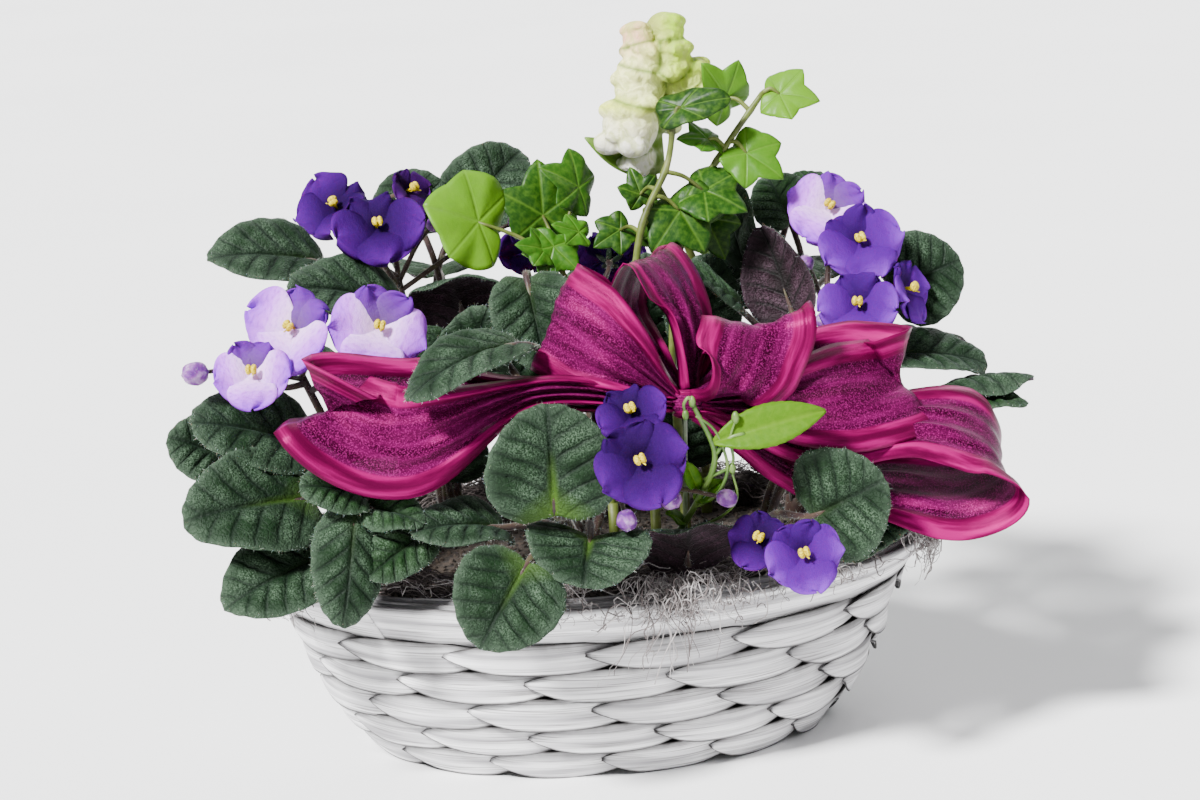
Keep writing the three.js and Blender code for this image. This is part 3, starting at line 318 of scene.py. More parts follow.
lime_wash, tree, shader = finish("lime wash", Roughness=0.62)
grain = add(tree, "ShaderNodeGroup", node_tree=wood_grain)
strip = add(tree, "ShaderNodeCombineXYZ", {0: value_of(tree, "along"), 1: value_of(tree, "across")})
give(grain.inputs, Strip=strip.outputs[0])
colour = blend(tree, grain.outputs["Patch"], (0.34, 0.33, 0.345), (0.86, 0.85, 0.86))
colour = blend(tree, maths(tree, "MULTIPLY", grain.outputs["Line"], 0.85), colour, (0.16, 0.15, 0.148))
# Painted shade: the colour goes toward near black in the gaps and hollows of the weave, broken up by noise.
crevice_shade = maths(tree, "MULTIPLY", value_of(tree, "tuck"), maths(tree, "ADD", noise(tree, 120.0, 3.0), 0.5))
colour = blend(tree, ramp(tree, crevice_shade, (0.05, 0.0), (0.36, 0.6), (0.75, 1.0)), colour, (0.03, 0.027, 0.027))
give(shader.inputs, Base_Color=colour)
bump(tree, shader, grain.outputs["Relief"], 0.6, 0.0007)

LAP_ALONG = np.append([0, 0.008, 0.03, 0.06, 0.1], np.linspace(0.15, 1, 19))
LAP_ACROSS = (-1, -0.94, -0.82, -0.5, 0, 0.5, 0.82, 0.94, 1)
CHIP_THICKNESS = 0.9


def past(value, start, length):
    """How far a value has come from its start, from 0 there to 1 a length further on."""
    return np.clip((value - start) / length, 0, 1)


def lap(row, index, low, high):
    """One lap of chip, like a boat: pointed where it comes out on top, tapered where it tucks in."""
    pitch = 2 * math.pi / LAPS
    along, across = net(LAP_ALONG, LAP_ACROSS)
    drift = math.sin(5.3 * index + 2.1 * row)
    turn = (index + (row % 2) / 2 + 0.04 * drift - 0.7 + 1.42 * along) * pitch
    ends = np.abs(2 * along - 1)
    bow = np.clip(1 - (1 - np.minimum(1, along / 0.3)) ** 2, 0, 1) ** 0.72
    tail = 1 - 0.62 * past(along, 0.68, 0.32) ** 1.4
    top = high + 0.2 - 1.4 * ends**2.2 + 0.3 * drift
    bottom = low - 1.5 + 5.2 * ends**2.4 - 0.3 * drift
    half = (top - bottom) / 2 * bow * tail
    out = 4.1 * np.sin(math.pi * (0.3 + 0.62 * along)) ** 0.9
    out = out - 2.9 * past(along, 0.42, 0.58) ** 1.5 + 0.2 * (1 - across**2) * bow
    out = out - 1.25 * across - 0.3 + 0.3 * np.sin(2.5 * across + 9 * along + 3 * drift)
    points, faces = thin(wall(turn, (top + bottom) / 2 + half * across, out), CHIP_THICKNESS)
    length = 58 * along + 91.7 * index + 37.1 * row
    # Painted shade: darker where the chip lies deep, along its edges, at its pointed start, toward its
    # tucked-in tail and under the row above.
    tuck = np.max([
        np.clip(1 - (out + 1.2) / 3.0, 0, 1) ** 1.2,
        0.9 * past(np.abs(across), 0.84, 0.14),
        0.6 * np.clip(1 - along / 0.02, 0, 1),
        0.5 * past(along, 0.62, 0.38),
        0.56 * past(across, 0.3, 0.6) ** 1.3,
    ], axis=0)
    return points, faces, dict(along=length * MM, across=half * across * MM, tuck=tuck)


for row in range(WEAVE_ROWS):
    pitch = (WEAVE_TOP - WEAVE_BOTTOM) / WEAVE_ROWS
    low, high = WEAVE_BOTTOM + row * pitch, WEAVE_BOTTOM + (row + 1) * pitch
    woven = Shape("along", "across", "tuck")
    for index in range(LAPS):
        points, faces, values = lap(row, index, low, high)
        woven.take(points, faces, 0, **values)
    # A ring behind the laps fills the gaps between them and is painted dark as shade.
    turns = np.linspace(0, 2 * math.pi, 96, endpoint=False)
    behind = [wall(turns, z, out) for z, out in (
        (low + 0.3, -4.0), (low + 0.3, -1.6), ((low + high) / 2, -1.0),
        (high - 0.3, -1.6), (high - 0.3, -4.0),
    )]
    ring = np.stack(behind + behind[:1])
    woven.take(ring, grid_faces(len(ring), len(turns), flip=True, closed=True), 0,
               along=turns * 100 * MM, across=ring[..., 2] * MM, tuck=0.85)
    settle(woven.piece(f"weave_{row + 1}", lime_wash), "white_wash", f"weave_row_{row + 1}")

# ---- Rim ---------------------------------------------------------------------------------
# Flat lime-washed strips bent round the top of the stakes and glued. The outer band is three
# strips whose ends overlap, and a thin lip stands inside it.


def strip_round(start, end, low, high, out, thickness, lift=0.0):
    """A flat strip bent round the wall from one turn to another, lifted off at its far end."""
    along, across = net(np.linspace(0, 1, 70), np.linspace(0, 1, 6))
    turn = start + (end - start) * along
    wave = 0.25 * np.sin(9 * turn + low) + 0.15 * np.sin(23 * turn)
    z = low + (high - low) * across + wave * (2 * across - 1)
    off = out + lift * past(along, 0.86, 0.14) + 0.35 * (1 - (2 * across - 1) ** 2)
    points, faces = thin(wall(turn, z, off)[:, ::-1], thickness)
    # Painted shade along the strip's two edges.
    values = dict(along=(125 * turn + 13 * low) * MM, across=(high - low) * across * MM,
                  tuck=0.4 * past(np.abs(2 * across - 1), 0.88, 0.12))
    return points, faces, {name: value[:, ::-1] for name, value in values.items()}


outer = Shape("along", "across", "tuck")
for start, sweep, lift in ((-2.55, 2.35, 0.9), (-0.35, 2.25, 0.9), (1.7, 2.25, 0.9)):
    points, faces, values = strip_round(start, start + sweep, 71.6, 88.6, 1.0, 1.1, lift)
    outer.take(points, faces, 0, **values)
for start, sweep in ((-2.9, 3.3), (0.3, 3.3)):
    points, faces, values = strip_round(start, start + sweep, 69.6, 80, -0.9, 1.4)
    outer.take(points, faces, 0, **values)
settle(outer.piece("rim_outer", lime_wash), "white_wash", "rim_band_outer")

inner = Shape("along", "across", "tuck")
for start, low, high, out in ((-2.2, 76, 90.8, -8.2), (0.9, 75, 90.2, -7.2), (-0.6, 78, 89.6, -3.4)):
    points, faces, values = strip_round(start, start + 2 * math.pi, low, high, out, 1.2, 0.4)
    inner.take(points, faces, 0, **values)
settle(inner.piece("rim_lip", lime_wash), "white_wash", "rim_band_inner")

# ---- Liner -------------------------------------------------------------------------------
# A bag of thin black film pressed into the basket. It keeps the damp soil off the wood, and its
# edge is hidden behind the lip.

film, tree, shader = finish("black film", Roughness=0.3)
creases = add(tree, "ShaderNodeTexVoronoi", {"Vector": place_of(tree), "Scale": 70.0}, feature="SMOOTH_F1")
colour = ramp(tree, creases.outputs[0], (0.2, (0.012, 0.012, 0.014)), (0.8, (0.03, 0.03, 0.034)))
give(shader.inputs, Base_Color=colour)
bump(tree, shader, creases.outputs[0], 0.5, 0.002)
coat("liner", film)

# ---- Soil --------------------------------------------------------------------------------
# Damp peat compost filled to just under the rim, with a loose crumb on top. The stems stand in
# it, and almost all of it is under fibre and leaves.

peat = mottled("damp peat", 260.0, 5.0, (0.35, (0.010, 0.007, 0.005)), (0.7, (0.055, 0.038, 0.026)),
               relief=(1.0, 0.003), Roughness=0.95)
coat("soil", peat)


def tree_of(name, **inputs):
    """An empty Geometry Nodes tree with its named inputs, each a socket kind and a value."""
    made = bpy.data.node_groups.new(name, "GeometryNodeTree")
    made.interface.new_socket("Geometry", in_out="INPUT", socket_type="NodeSocketGeometry")
    made.interface.new_socket("Geometry", in_out="OUTPUT", socket_type="NodeSocketGeometry")
    for socket, (kind, value) in inputs.items():
        new = made.interface.new_socket(socket, in_out="INPUT", socket_type="NodeSocket" + kind)
        if value is not None:
            new.default_value = value
    return made, made.nodes.new("NodeGroupInput").outputs, made.nodes.new("NodeGroupOutput").inputs


def grown(host, tree, made_of, **inputs):
    """The host's mesh after the tree has run on it with these inputs, as a plain mesh."""
    modifier = host.modifiers.new(tree.name, "NODES")
    modifier.node_group = tree
    sockets = {item.name: item.identifier for item in tree.interface.items_tree if item.in_out == "INPUT"}
    for name, value in dict(inputs, Finish=made_of).items():
        modifier[sockets[name]] = value
    evaluated = host.evaluated_get(bpy.context.evaluated_depsgraph_get())
    mesh = bpy.data.meshes.new_from_object(evaluated)
    host.modifiers.remove(modifier)
    return mesh


def paint(tree, instances, taken, given):
    """The tree's end: its instances made real and given their finish."""
    real = add(tree, "GeometryNodeRealizeInstances", {0: instances.outputs[0]})
    feeds = {"Geometry": real.outputs[0], "Material": taken["Finish"]}
    give(given, Geometry=add(tree, "GeometryNodeSetMaterial", feeds).outputs[0])


def at_random(tree, low, high, seed):
    """A random vector for each instance."""
    feeds = {0: low, 1: high, "Seed": seed}
    return add(tree, "FunctionNodeRandomValue", feeds, data_type="FLOAT_VECTOR").outputs[0]


CRUMB_FLOOR = 0.075  # metres: crumbs lie only above this height
crumble, taken, given = tree_of(
    "crumbs on a surface", Spacing=("Float", 0.003), Size=("Float", 0.0015), Seed=("Int", 1),
    Finish=("Material", None),
)
facing, place = (
    add(crumble, "ShaderNodeSeparateXYZ", {0: crumble.nodes.new(kind).outputs[0]}).outputs[2]
    for kind in ("GeometryNodeInputNormal", "GeometryNodeInputPosition")
)
tops = add(crumble, "FunctionNodeCompare", {0: facing, 1: 0.8}, operation="GREATER_THAN")
high = add(crumble, "FunctionNodeCompare", {0: place, 1: CRUMB_FLOOR}, operation="GREATER_THAN")
both = add(crumble, "FunctionNodeBooleanMath", {0: tops.outputs[0], 1: high.outputs[0]}, operation="AND")
spread = add(crumble, "GeometryNodeDistributePointsOnFaces", {
    "Mesh": taken["Geometry"], "Selection": both.outputs[0], "Distance Min": taken["Spacing"],
    "Density Max": 90000.0, "Seed": taken["Seed"],
}, distribute_method="POISSON")
clod = add(crumble, "GeometryNodeMeshIcoSphere", {"Radius": taken["Size"], "Subdivisions": 1})
strewn = add(crumble, "GeometryNodeInstanceOnPoints", {
    "Points": spread.outputs[0], "Instance": clod.outputs[0],
    "Scale": at_random(crumble, (0.5, 0.5, 0.3), (1.5, 1.3, 0.9), taken["Seed"]),
    "Rotation": at_random(crumble, (0, 0, 0), (6.3, 6.3, 6.3), taken["Seed"]),
})
paint(crumble, strewn, taken, given)

soil_top = object_of("soil top", cad["soil"].data.copy())
crumbs = object_of("soil_crumbs", grown(soil_top, crumble, peat, Spacing=0.0034, Size=0.0017, Seed=4))
bpy.data.objects.remove(soil_top)
settle(crumbs, "soil")

# ---- Wood fibre and moss -----------------------------------------------------------------
# Curled ribbons of bleached wood fibre over a pad of dry grey moss, pushed down inside the rim by
# hand. Loose hanks of it hang out over the rim at the front, at both ends and at the back.

NEST_LIFT, SOIL_TOP = 1.6, 80
HANKS = (  # degrees, how many, how far down, how wide
    (277, 80, 32, 5), (288, 40, 12, 9), (180, 90, 18, 9), (200, 80, 15, 12), (352, 90, 20, 7),
    (335, 40, 9, 8), (90, 60, 16, 9), (255, 44, 8, 9), (306, 32, 7, 8),
)
STRANDS, STRAND_STEPS, HANK_STEPS, MEAN_RADIUS = 1100, 15, 26, 125


def rim_point(turn, out, z):
    return np.stack([(RIM_HALF_LENGTH + out) * np.cos(turn), (RIM_HALF_WIDTH + out) * np.sin(turn), z], -1)


moss = mottled("dry moss", 330.0, 6.0, (0.36, (0.012, 0.009, 0.008)), (0.62, (0.10, 0.08, 0.07)),
               relief=(1.0, 0.004), distortion=2.5, Roughness=0.95)

fibre, tree, shader = finish("bleached wood fibre", Roughness=0.75)
# Each strand's value runs from near black to pale: its own tone, with painted shade on strands deep inside
# the rim.
colour = ramp(tree, value_of(tree, "tone_and_shade"), (0.0, (0.022, 0.016, 0.014)), (0.45, (0.15, 0.125, 0.12)),
              (1.0, (0.62, 0.59, 0.58)))
colour = blend(tree, maths(tree, "MULTIPLY", noise(tree, 900.0, 2.0), 0.45), colour, (0.12, 0.09, 0.085))
give(shader.inputs, Base_Color=colour)

pad = Shape()
turns = np.linspace(0, 2 * math.pi, 220, endpoint=False)
lump = 2.2 * np.sin(7 * turns) + 1.6 * np.cos(13 * turns + 1)
rough = np.random.default_rng(11)
profile = []
for out, z, share in ((-13, 88.5, -0.5), (-16, 91, 0), (-22, 93, 1), (-27, 90.5, 1), (-32, 87, 1)):
    jitter = rough.normal(0, 0.9, (3, len(turns)))
    profile.append(rim_point(turns, out + jitter[0], z + share * lump + jitter[1]))
profile += [rim_point(turns, out, np.full(len(turns), SOIL_TOP + NEST_LIFT)) for out in (-34, -18)]
pad_ring = np.stack(profile + profile[:1])
pad.take(pad_ring, grid_faces(len(pad_ring), len(turns), closed=True, flip=True))

strands = []
random = np.random.default_rng(7)


def curl(path, reach, coils):
    """A path with a loose curl laid on it."""
    share = np.linspace(0, 1, len(path))
    phase = random.uniform(0, 6.28, 3)
    swing = [np.sin(coils * 6.28 * share * (0.8 + 0.2 * i) + phase[i]) for i in range(3)]
    return path + reach * np.stack(swing, -1) * np.sin(math.pi * share)[:, None] ** 0.5


for _ in range(STRANDS):
    start = random.uniform(0, 2 * math.pi)
    length = random.uniform(16, 62)
    share = np.linspace(0, 1, STRAND_STEPS)
    turn = start + random.choice((-1, 1)) * length / MEAN_RADIUS * share
    out = random.uniform(-34, -11) + random.uniform(-9, 9) * share
    lift = 88 + 6.5 * np.exp(-(((out + 22) / 9) ** 2)) + random.uniform(-1, 4.5) + 1.5 * np.sin(7 * turn)
    path = curl(rim_point(turn, out, lift), random.uniform(0.8, 3.2), random.uniform(1, 3.2))
    shade = 0.3 if out[0] < -21 else 1.0
    strands.append((path, random.uniform(0.18, 0.55), shade * random.uniform(0, 1) ** 1.3))
for degrees, count, drop, wide in HANKS:
    for _ in range(count):
        turn = math.radians(degrees + random.normal(0, wide / 2))
        fall = drop * (0.12 + 1.1 * random.uniform(0, 1) ** 3)
        reach = random.uniform(-26, -12)
        knots = np.array([(reach, 90), (-6, 95 + random.uniform(0, 3)), (3.2, 93), (5, 88 - 0.35 * fall),
                          (4.5 + random.uniform(0, 3) - 0.33 * fall, 88 - fall)])
        share = np.linspace(0, 1, HANK_STEPS)
        out, z = (np.interp(share * (len(knots) - 1), range(len(knots)), knots[:, i]) for i in (0, 1))
        aside = turn + random.normal(0, 0.09) * share**1.5
        path = curl(rim_point(aside, out, z), random.uniform(1.2, 4.0), random.uniform(1.5, 4.5))
        strands.append((path, random.uniform(0.12, 0.40), 0.35 + 0.65 * random.uniform(0, 1)))

lay, taken, given = tree_of(
    "fibre along its path", Width=("Float", 0.001), Flatness=("Float", 0.4), Finish=("Material", None)
)
section = add(lay, "GeometryNodeCurvePrimitiveCircle", {"Resolution": 3, "Radius": taken["Width"]})
squash = add(lay, "ShaderNodeCombineXYZ", {0: 1.0, 1: taken["Flatness"], 2: 1.0})
flat = add(lay, "GeometryNodeTransform", {"Geometry": section.outputs[0], "Scale": squash.outputs[0]})
lines = add(lay, "GeometryNodeMeshToCurve", {0: taken["Geometry"]})
thickness = add(lay, "GeometryNodeInputNamedAttribute", {0: "thickness"}, data_type="FLOAT")
swept = add(lay, "GeometryNodeCurveToMesh", {
    0: lines.outputs[0], 1: flat.outputs[0], "Scale": thickness.outputs[0], "Fill Caps": True,
})
paint(lay, swept, taken, given)


def paths_of(name, lines):
    """Open lines as edges, with a thickness and a value at their points for the strand's tone and painted
    shade.
    """
    mesh = bpy.data.meshes.new(name)
    points, edges, first = np.concatenate([line for line, _, _ in lines]) * MM, [], 0
    for line, _, _ in lines:
        edges += [(first + i, first + i + 1) for i in range(len(line) - 1)]
        first += len(line)
    mesh.from_pydata(points.tolist(), edges, [])
    for value, part in (("thickness", 1), ("tone_and_shade", 2)):
        held = np.concatenate([np.full(len(line[0]), line[part]) for line in lines])
        mesh.attributes.new(value, "FLOAT", "POINT").data.foreach_set("value", held)
    return object_of(name, mesh)


paths = paths_of("fibre paths", strands)
curled = object_of("wood_fibre", grown(paths, lay, fibre, Width=0.001, Flatness=0.4))
bpy.data.objects.remove(paths)
pad_piece = pad.piece("moss_pad", moss)
settle(pad_piece, "wood_fibre", "fibre_nest")
settle(curled, "wood_fibre")

# ---- Violet plants -----------------------------------------------------------------------
# Six african violets in flower. Each is a short crown with hairy stalked leaves all round it, and
# one forked flower stem. The leaves are thick, quilted and softly hairy, and plum underneath.

CROWN_RADIUS, CROWN_MIDDLE, CROWN_TOP, HOLE_FLOOR = 7, 88.0, 98, 68
LIP_DOWN = (0, 0, -1)
# Where the crown stands. Each leaf's heel, tip, upper side, width and what isn't usual in it. Where
# the flower stem forks. Each bloom's middle, front, lower lip, radius and finish. Each bud's place
# and size.
VIOLETS = {
    "back_left": {
        "crown": (-62, 38),
        "leaves": [
            ((-112, 25, 219), (-163, 5, 228), (-0.2, -0.55, 0.8), 43),
            ((-80, 12, 200), (-129, -12, 215), (-0.1, -0.6, 0.8), 42),
            ((-66, 58, 222), (-78, 72, 250), (-0.1, -0.8, 0.6), 38),
            ((-50, 62, 226), (-18, 78, 256), (0.1, -0.8, 0.6), 40),
            ((-52, 24, 188), (-56, -8, 214), (0, 0.6, 0.8), 48, dict(cup=-0.05, arch=0.14)),
            ((-98, 82, 190), (-130, 122, 184), (-0.3, 0.5, 0.8), 44),
            ((-58, 96, 196), (-60, 146, 186), (0, 0.5, 0.85), 45),
            ((-112, 52, 168), (-164, 66, 160), (-0.5, 0.2, 0.85), 44),
            ((-80, 88, 142), (-92, 130, 116), (-0.1, 0.8, 0.6), 42),
            ((-64, 20, 112), (-70, 2, 152), (0, -0.9, 0.35), 42),
        ],
        "hub": (-80, 46, 205),
        "blooms": [
            ((-106, 48, 240), (-0.35, -0.6, 0.7), (-1, 0, -0.3), 19, "petal_dark"),
            ((-88, 24, 234), (0.1, -0.75, 0.6), (0.2, -0.6, -1), 21, "petal_dark"),
            ((-72, 54, 244), (0.75, -0.5, 0.4), (0.2, 0, -1), 13, "petal_plum"),
        ],
        "buds": [(-62, 40, 230, 3.5), (-24, 38, 229, 4.2)],
    },
    "front_left": {
        "crown": (-92, -34),
        "leaves": [
            ((-124, -30, 149), (-174, -52, 168), (-0.2, -0.65, 0.72), 46),
            ((-158, -8, 138), (-186, -16, 154), (-0.3, -0.7, 0.6), 34),
            ((-124, -55, 132), (-178, -82, 134), (-0.1, -0.8, 0.6), 50, dict(rib=0.6)),
            ((-120, -68, 110), (-164, -90, 97), (-0.2, -0.75, 0.65), 42),
            ((-101, -77, 138), (-129, -91, 147), (0, -0.7, 0.7), 26),
            ((-103, -78, 133), (-79, -96, 129), (0, -0.6, 0.8), 23),
            ((-107, -86, 134), (-115, -112, 92), (0.15, -0.95, 0.2), 32, dict(fold=0.35, cup=0)),
            ((-77, -81, 121), (-104, -101, 108), (0.05, -0.75, 0.65), 25),
        ],
        "hub": (-126, -12, 176),
        "blooms": [
            ((-128, -36, 203), (-0.5, -0.75, 0.35), (-0.6, 0, -0.8), 22, "petal_pale"),
            ((-146, -48, 188), (-0.1, -0.92, 0.3), LIP_DOWN, 17, "petal_pale"),
            ((-91, -46, 203), (0.1, -0.93, 0.3), (-0.3, 0, -0.9), 22, "petal_pale"),
        ],
        "buds": [(-170, -45, 188, 5.4)],
    },
    "front_middle": {
        "crown": (-8, -56),
        "leaves": [
            ((-25, -14, 214), (-20, -40, 176), (-0.05, -0.88, 0.45), 38),
            ((-54, -4, 166), (-43, -22, 202), (0, -0.85, 0.5), 34),
            ((-60, 4, 188), (-75, -24, 174), (0, -0.7, 0.7), 34),
            ((-32, -74, 198), (-82, -107, 184), (0, -0.25, 1), 34, dict(arch=0.1)),
            ((-44, -80, 120), (-84, -98, 126), (0, -0.4, 0.9), 34),
            ((-25, -110, 131), (-25, -104, 178), (0, -0.97, 0.25), 56, dict(cup=0.08, rib=0.9)),
            ((-37, -113, 114), (-60, -130, 84), (-0.05, -0.88, 0.45), 47, dict(rib=0.6)),
            ((-9, -96, 120), (-16, -124, 104), (0, -0.62, 0.78), 52, dict(cup=0.16, rib=0.9)),
        ],
        "hub": (4, -74, 138),
        "blooms": [
            ((9, -107, 173), (-0.1, -0.8, 0.6), (0.3, 0, -1), 15, "petal_dark"),
            ((10, -124, 157), (0, -0.98, 0.2), (0.35, 0, -0.9), 20, "petal_dark"),
        ],
        "buds": [(24, -101, 133, 4.8), (5, -108, 127, 4.6), (48, -101, 131, 4)],
    },
    "front_right": {
        "crown": (66, -50),
        "leaves": [
            ((84, -96, 118), (114, -108, 136), (0.1, -0.92, 0.4), 50),
            ((100, -68, 99), (132, -76, 112), (0.1, -0.65, 0.75), 32),
            ((32, -84, 96), (32, -108, 122), (0, 0.55, 0.83), 44, dict(arch=0.12)),
            ((152, -24, 152), (196, -36, 158), (0.1, 0.1, 1), 34, dict(fold=0.3, cup=0)),
            ((160, -32, 144), (190, -48, 149), (0, -0.2, 1), 26),
            ((126, 0, 128), (176, 8, 118), (0.5, 0, 0.85), 42),
        ],
        "hub": (66, -80, 104),
        "blooms": [
            ((61, -107, 114), (-0.35, -0.8, 0.45), (-0.4, 0, -1), 14, "petal_dark"),
            ((76, -124, 112), (0, -0.97, 0.2), (0.25, 0, -0.95), 17, "petal_mid"),
        ],
        "buds": [],
    },
    "back_right": {
        "crown": (98, 22),
        "leaves": [
            ((142, 12, 190), (174, 8, 203), (0.15, -0.9, 0.4), 44),
            ((103, 44, 218), (94, 56, 240), (-0.1, -0.75, 0.65), 30),
            ((84, 26, 186), (72, 40, 242), (-0.8, -0.4, 0.4), 38),
            ((97, -2, 178), (84, 12, 224), (0.3, 0.8, 0.5), 34, dict(fold=0.4, cup=0)),
            ((70, -10, 193), (38, -22, 214), (-0.1, -0.35, 0.93), 30),
            ((134, -10, 166), (180, -16, 160), (0, -0.3, 0.95), 38),
            ((108, 62, 224), (122, 78, 236), (0, -0.6, 0.8), 22),
            ((122, 74, 186), (154, 108, 184), (0.3, 0.5, 0.8), 44),
            ((84, 90, 196), (92, 136, 190), (0, 0.5, 0.85), 42),
            ((142, 46, 160), (190, 60, 150), (0.5, 0.2, 0.85), 44),
            ((112, 78, 136), (134, 112, 112), (0.3, 0.7, 0.65), 42),
        ],
        "hub": (112, 12, 184),
        "blooms": [
            ((115, 10, 231), (-0.15, -0.85, 0.5), (-0.5, 0, -0.8), 20, "petal_pale"),
            ((125, -6, 218), (0.05, -0.85, 0.5), (0.3, 0, -1), 20, "petal_mid"),
            ((120, -26, 194), (-0.2, -0.92, 0.35), LIP_DOWN, 18, "petal_mid"),
            ((145, -12, 196), (0.85, -0.5, 0.15), LIP_DOWN, 16, "petal_mid"),
        ],
        "buds": [(102, 0, 208, 3.6), (106, -16, 185, 4), (133, -16, 178, 4)],
    },
    "back_middle": {
        "crown": (8, 60),
        "leaves": [
            ((8, 104, 164), (6, 152, 154), (0, 0.5, 0.85), 44),
            ((-24, 98, 146), (-40, 142, 130), (-0.2, 0.6, 0.8), 42),
            ((44, 100, 148), (60, 142, 134), (0.2, 0.6, 0.8), 42),
            ((8, 98, 122), (4, 138, 98), (0, 0.8, 0.6), 42),
            ((33, 44, 158), (34, 33, 210), (0, -0.9, 0.35), 42),
            ((56, 35, 166), (61, 28, 210), (0.1, -0.9, 0.3), 36),
            ((6, 38, 158), (2, 30, 206), (-0.05, -0.9, 0.35), 42),
            ((-26, 30, 140), (-34, 16, 184), (-0.1, -0.9, 0.35), 42),
            ((42, 38, 108), (46, 30, 152), (0, -0.9, 0.35), 46),
        ],
        "hub": (6, 92, 178),
        "blooms": [
            ((-12, 106, 204), (-0.1, 0.85, 0.5), LIP_DOWN, 19, "petal_dark"),
            ((24, 108, 196), (0.2, 0.9, 0.4), LIP_DOWN, 18, "petal_dark"),
        ],
        "buds": [(4, 96, 214, 4)],
    },
}


def unit(vector):
    return np.asarray(vector, float) / np.linalg.norm(vector)


def units(rows):
    """Each row as a vector of length 1."""
    return rows / np.linalg.norm(rows, axis=1, keepdims=True)


def axes_of(along, face):
    """Right-handed axes that point along a leaf, across it and out of its upper side."""
    x = unit(along)
    z = unit(np.asarray(face, float) - np.dot(face, x) * x)
    return np.stack([x, np.cross(z, x), z])


def blade_faces(rings, spokes):
    """The faces of a thin blade on rings round a pole: its upper side with its edge, and its underside."""
    count = 1 + rings * spokes
    faces = [(0, 1 + j, 1 + (j + 1) % spokes) for j in range(spokes)]
    faces += grid_faces(rings, spokes, 1, closed=True)
    under = [tuple(count + corner for corner in face[::-1]) for face in faces]
    last = count - spokes
    for j in range(spokes):
        k = (j + 1) % spokes
        faces.append((last + j, count + last + j, count + last + k, last + k))
    return faces, under


def blade(middle, thick, x, y, heights):
    """Both sides of a thin blade, each on its middle point and its rings."""
    upper, lower = (np.stack([x, y, height], -1).reshape(-1, 3) for height in heights)
    pole = np.array([middle])
    return np.concatenate([pole, upper, pole - (0, 0, thick), lower])


LEAF_RINGS, LEAF_SPOKES = 14, 60
LEAF_FACES = blade_faces(LEAF_RINGS, LEAF_SPOKES)


def leaf_blade(heel, axes, length, width, seed, fold=0, cup=0.1, arch=0.06):
    """A violet leaf's points, with its veins sunk, the skin between them puffed and its rim thin."""
    out, turn = net(np.linspace(0, 1, LEAF_RINGS + 1)[1:], np.linspace(0, 2 * math.pi, LEAF_SPOKES, False))
    out = out**0.9
    notch = np.exp(-(((turn - math.pi) / 0.3) ** 2))
    reach = out * (1 - 0.2 * notch) * (1 + 0.012 * np.cos(17 * turn + seed))
    x = length * (0.45 + 0.55 * np.cos(turn) * reach)
    y = width / 2 * np.sin(turn) * (1 - 0.14 * np.cos(turn)) * reach
    share, side = x / length, 2 * y / width
    lift = 4 * arch * x * (1 - share) + cup * width * side**2 - fold * np.abs(y)
    lift += 1.3 * np.sin(3 * turn + seed) * out**2 + 0.9 * np.sin(5 * turn + 2 * seed) * out**3 - 1.3 * out**7
    veins = 5.6 * (share - 0.36 * np.abs(side) + 0.1 * side**2) + 0.3 * np.sign(y)
    sunk = np.exp(-(((veins % 1) - 0.5) ** 2) / 0.012) * np.clip(3.5 * np.abs(side), 0, 1)
    rib = np.exp(-((y / 1.3) ** 2))
    puff = np.sin(math.pi * ((veins + 0.5) % 1)) ** 0.7 * np.clip(np.abs(side) * 3.2, 0, 1) * (1 - out**5)
    relief = 1.7 * puff - 0.4 * sunk - 1.3 * rib * np.clip(1.15 - share, 0, 1)
    middle = (0.45 * length, 0, 4 * arch * 0.45 * 0.55 * length - 0.8)
    thick = 1.1 * (1 - 0.6 * out**3)
    points = blade(middle, 0.9, x, y, (lift + relief + thick / 2, lift + 0.8 * relief - thick / 2))
    values = dict(leaf_u=share, leaf_v=side, puff=puff, hairy=out > 0.97, rim=out**10)
    at_middle = dict(leaf_u=0.45)
    values = {name: np.append(at_middle.get(name, 0), value) for name, value in values.items()}
    return heel + points @ axes, values


def path_through(points, steps):
    """Evenly counted points on a smooth line through the given ones."""
    points = np.asarray(points, float)
    wide = np.concatenate([[2 * points[0] - points[1]], points, [2 * points[-1] - points[-2]]])
    gaps = np.maximum(np.linalg.norm(np.diff(wide, axis=0), axis=1), 1e-6) ** 0.5
    made = []
    for place in np.linspace(0, len(points) - 1, steps):
        i = min(int(place), len(points) - 2)
        t = place - i
        a, b, c, d = wide[i:i + 4]
        p, q, r = gaps[i:i + 3]
        leave = q * ((b - a) / p - (c - a) / (p + q) + (c - b) / q)
        reach = q * ((c - b) / q - (d - b) / (q + r) + (d - c) / r)
        made.append(b + leave * t + (3 * (c - b) - 2 * leave - reach) * t**2
                    + (2 * (b - c) + leave + reach) * t**3)
    return np.array(made)


def bezier(a, b, c, d, steps):
    t = np.linspace(0, 1, steps)[:, None]
    return (1 - t) ** 3 * a + 3 * (1 - t) ** 2 * t * b + 3 * (1 - t) * t**2 * c + t**3 * d


def capped(rows, columns):
    """The faces of a closed body: rings of points, then its first end's point and its last one's."""
    count = rows * columns
    faces = grid_faces(rows, columns, closed=True, flip=True)
    for j in range(columns):
        k = (j + 1) % columns
        faces += [(count, k, j), (count + 1, count - columns + j, count - columns + k)]
    return faces


def tube(path, radii, sides=8):
    """A closed round stalk along a path."""
    path = np.asarray(path, float)
    tangents = units(np.gradient(path, axis=0))
    side = np.cross(tangents[0], (0.3, 0.5, 0.81))
    rows = []
    for point, tangent, radius in zip(path, tangents, np.broadcast_to(radii, len(path))):
        side = unit(side - np.dot(side, tangent) * tangent)
        other = np.cross(tangent, side)
        turns = np.linspace(0, 2 * math.pi, sides, endpoint=False)[:, None]
        rows.append(point + radius * (np.cos(turns) * side + np.sin(turns) * other))
    return np.concatenate([*rows, path[:1], path[-1:]]), capped(len(path), sides)


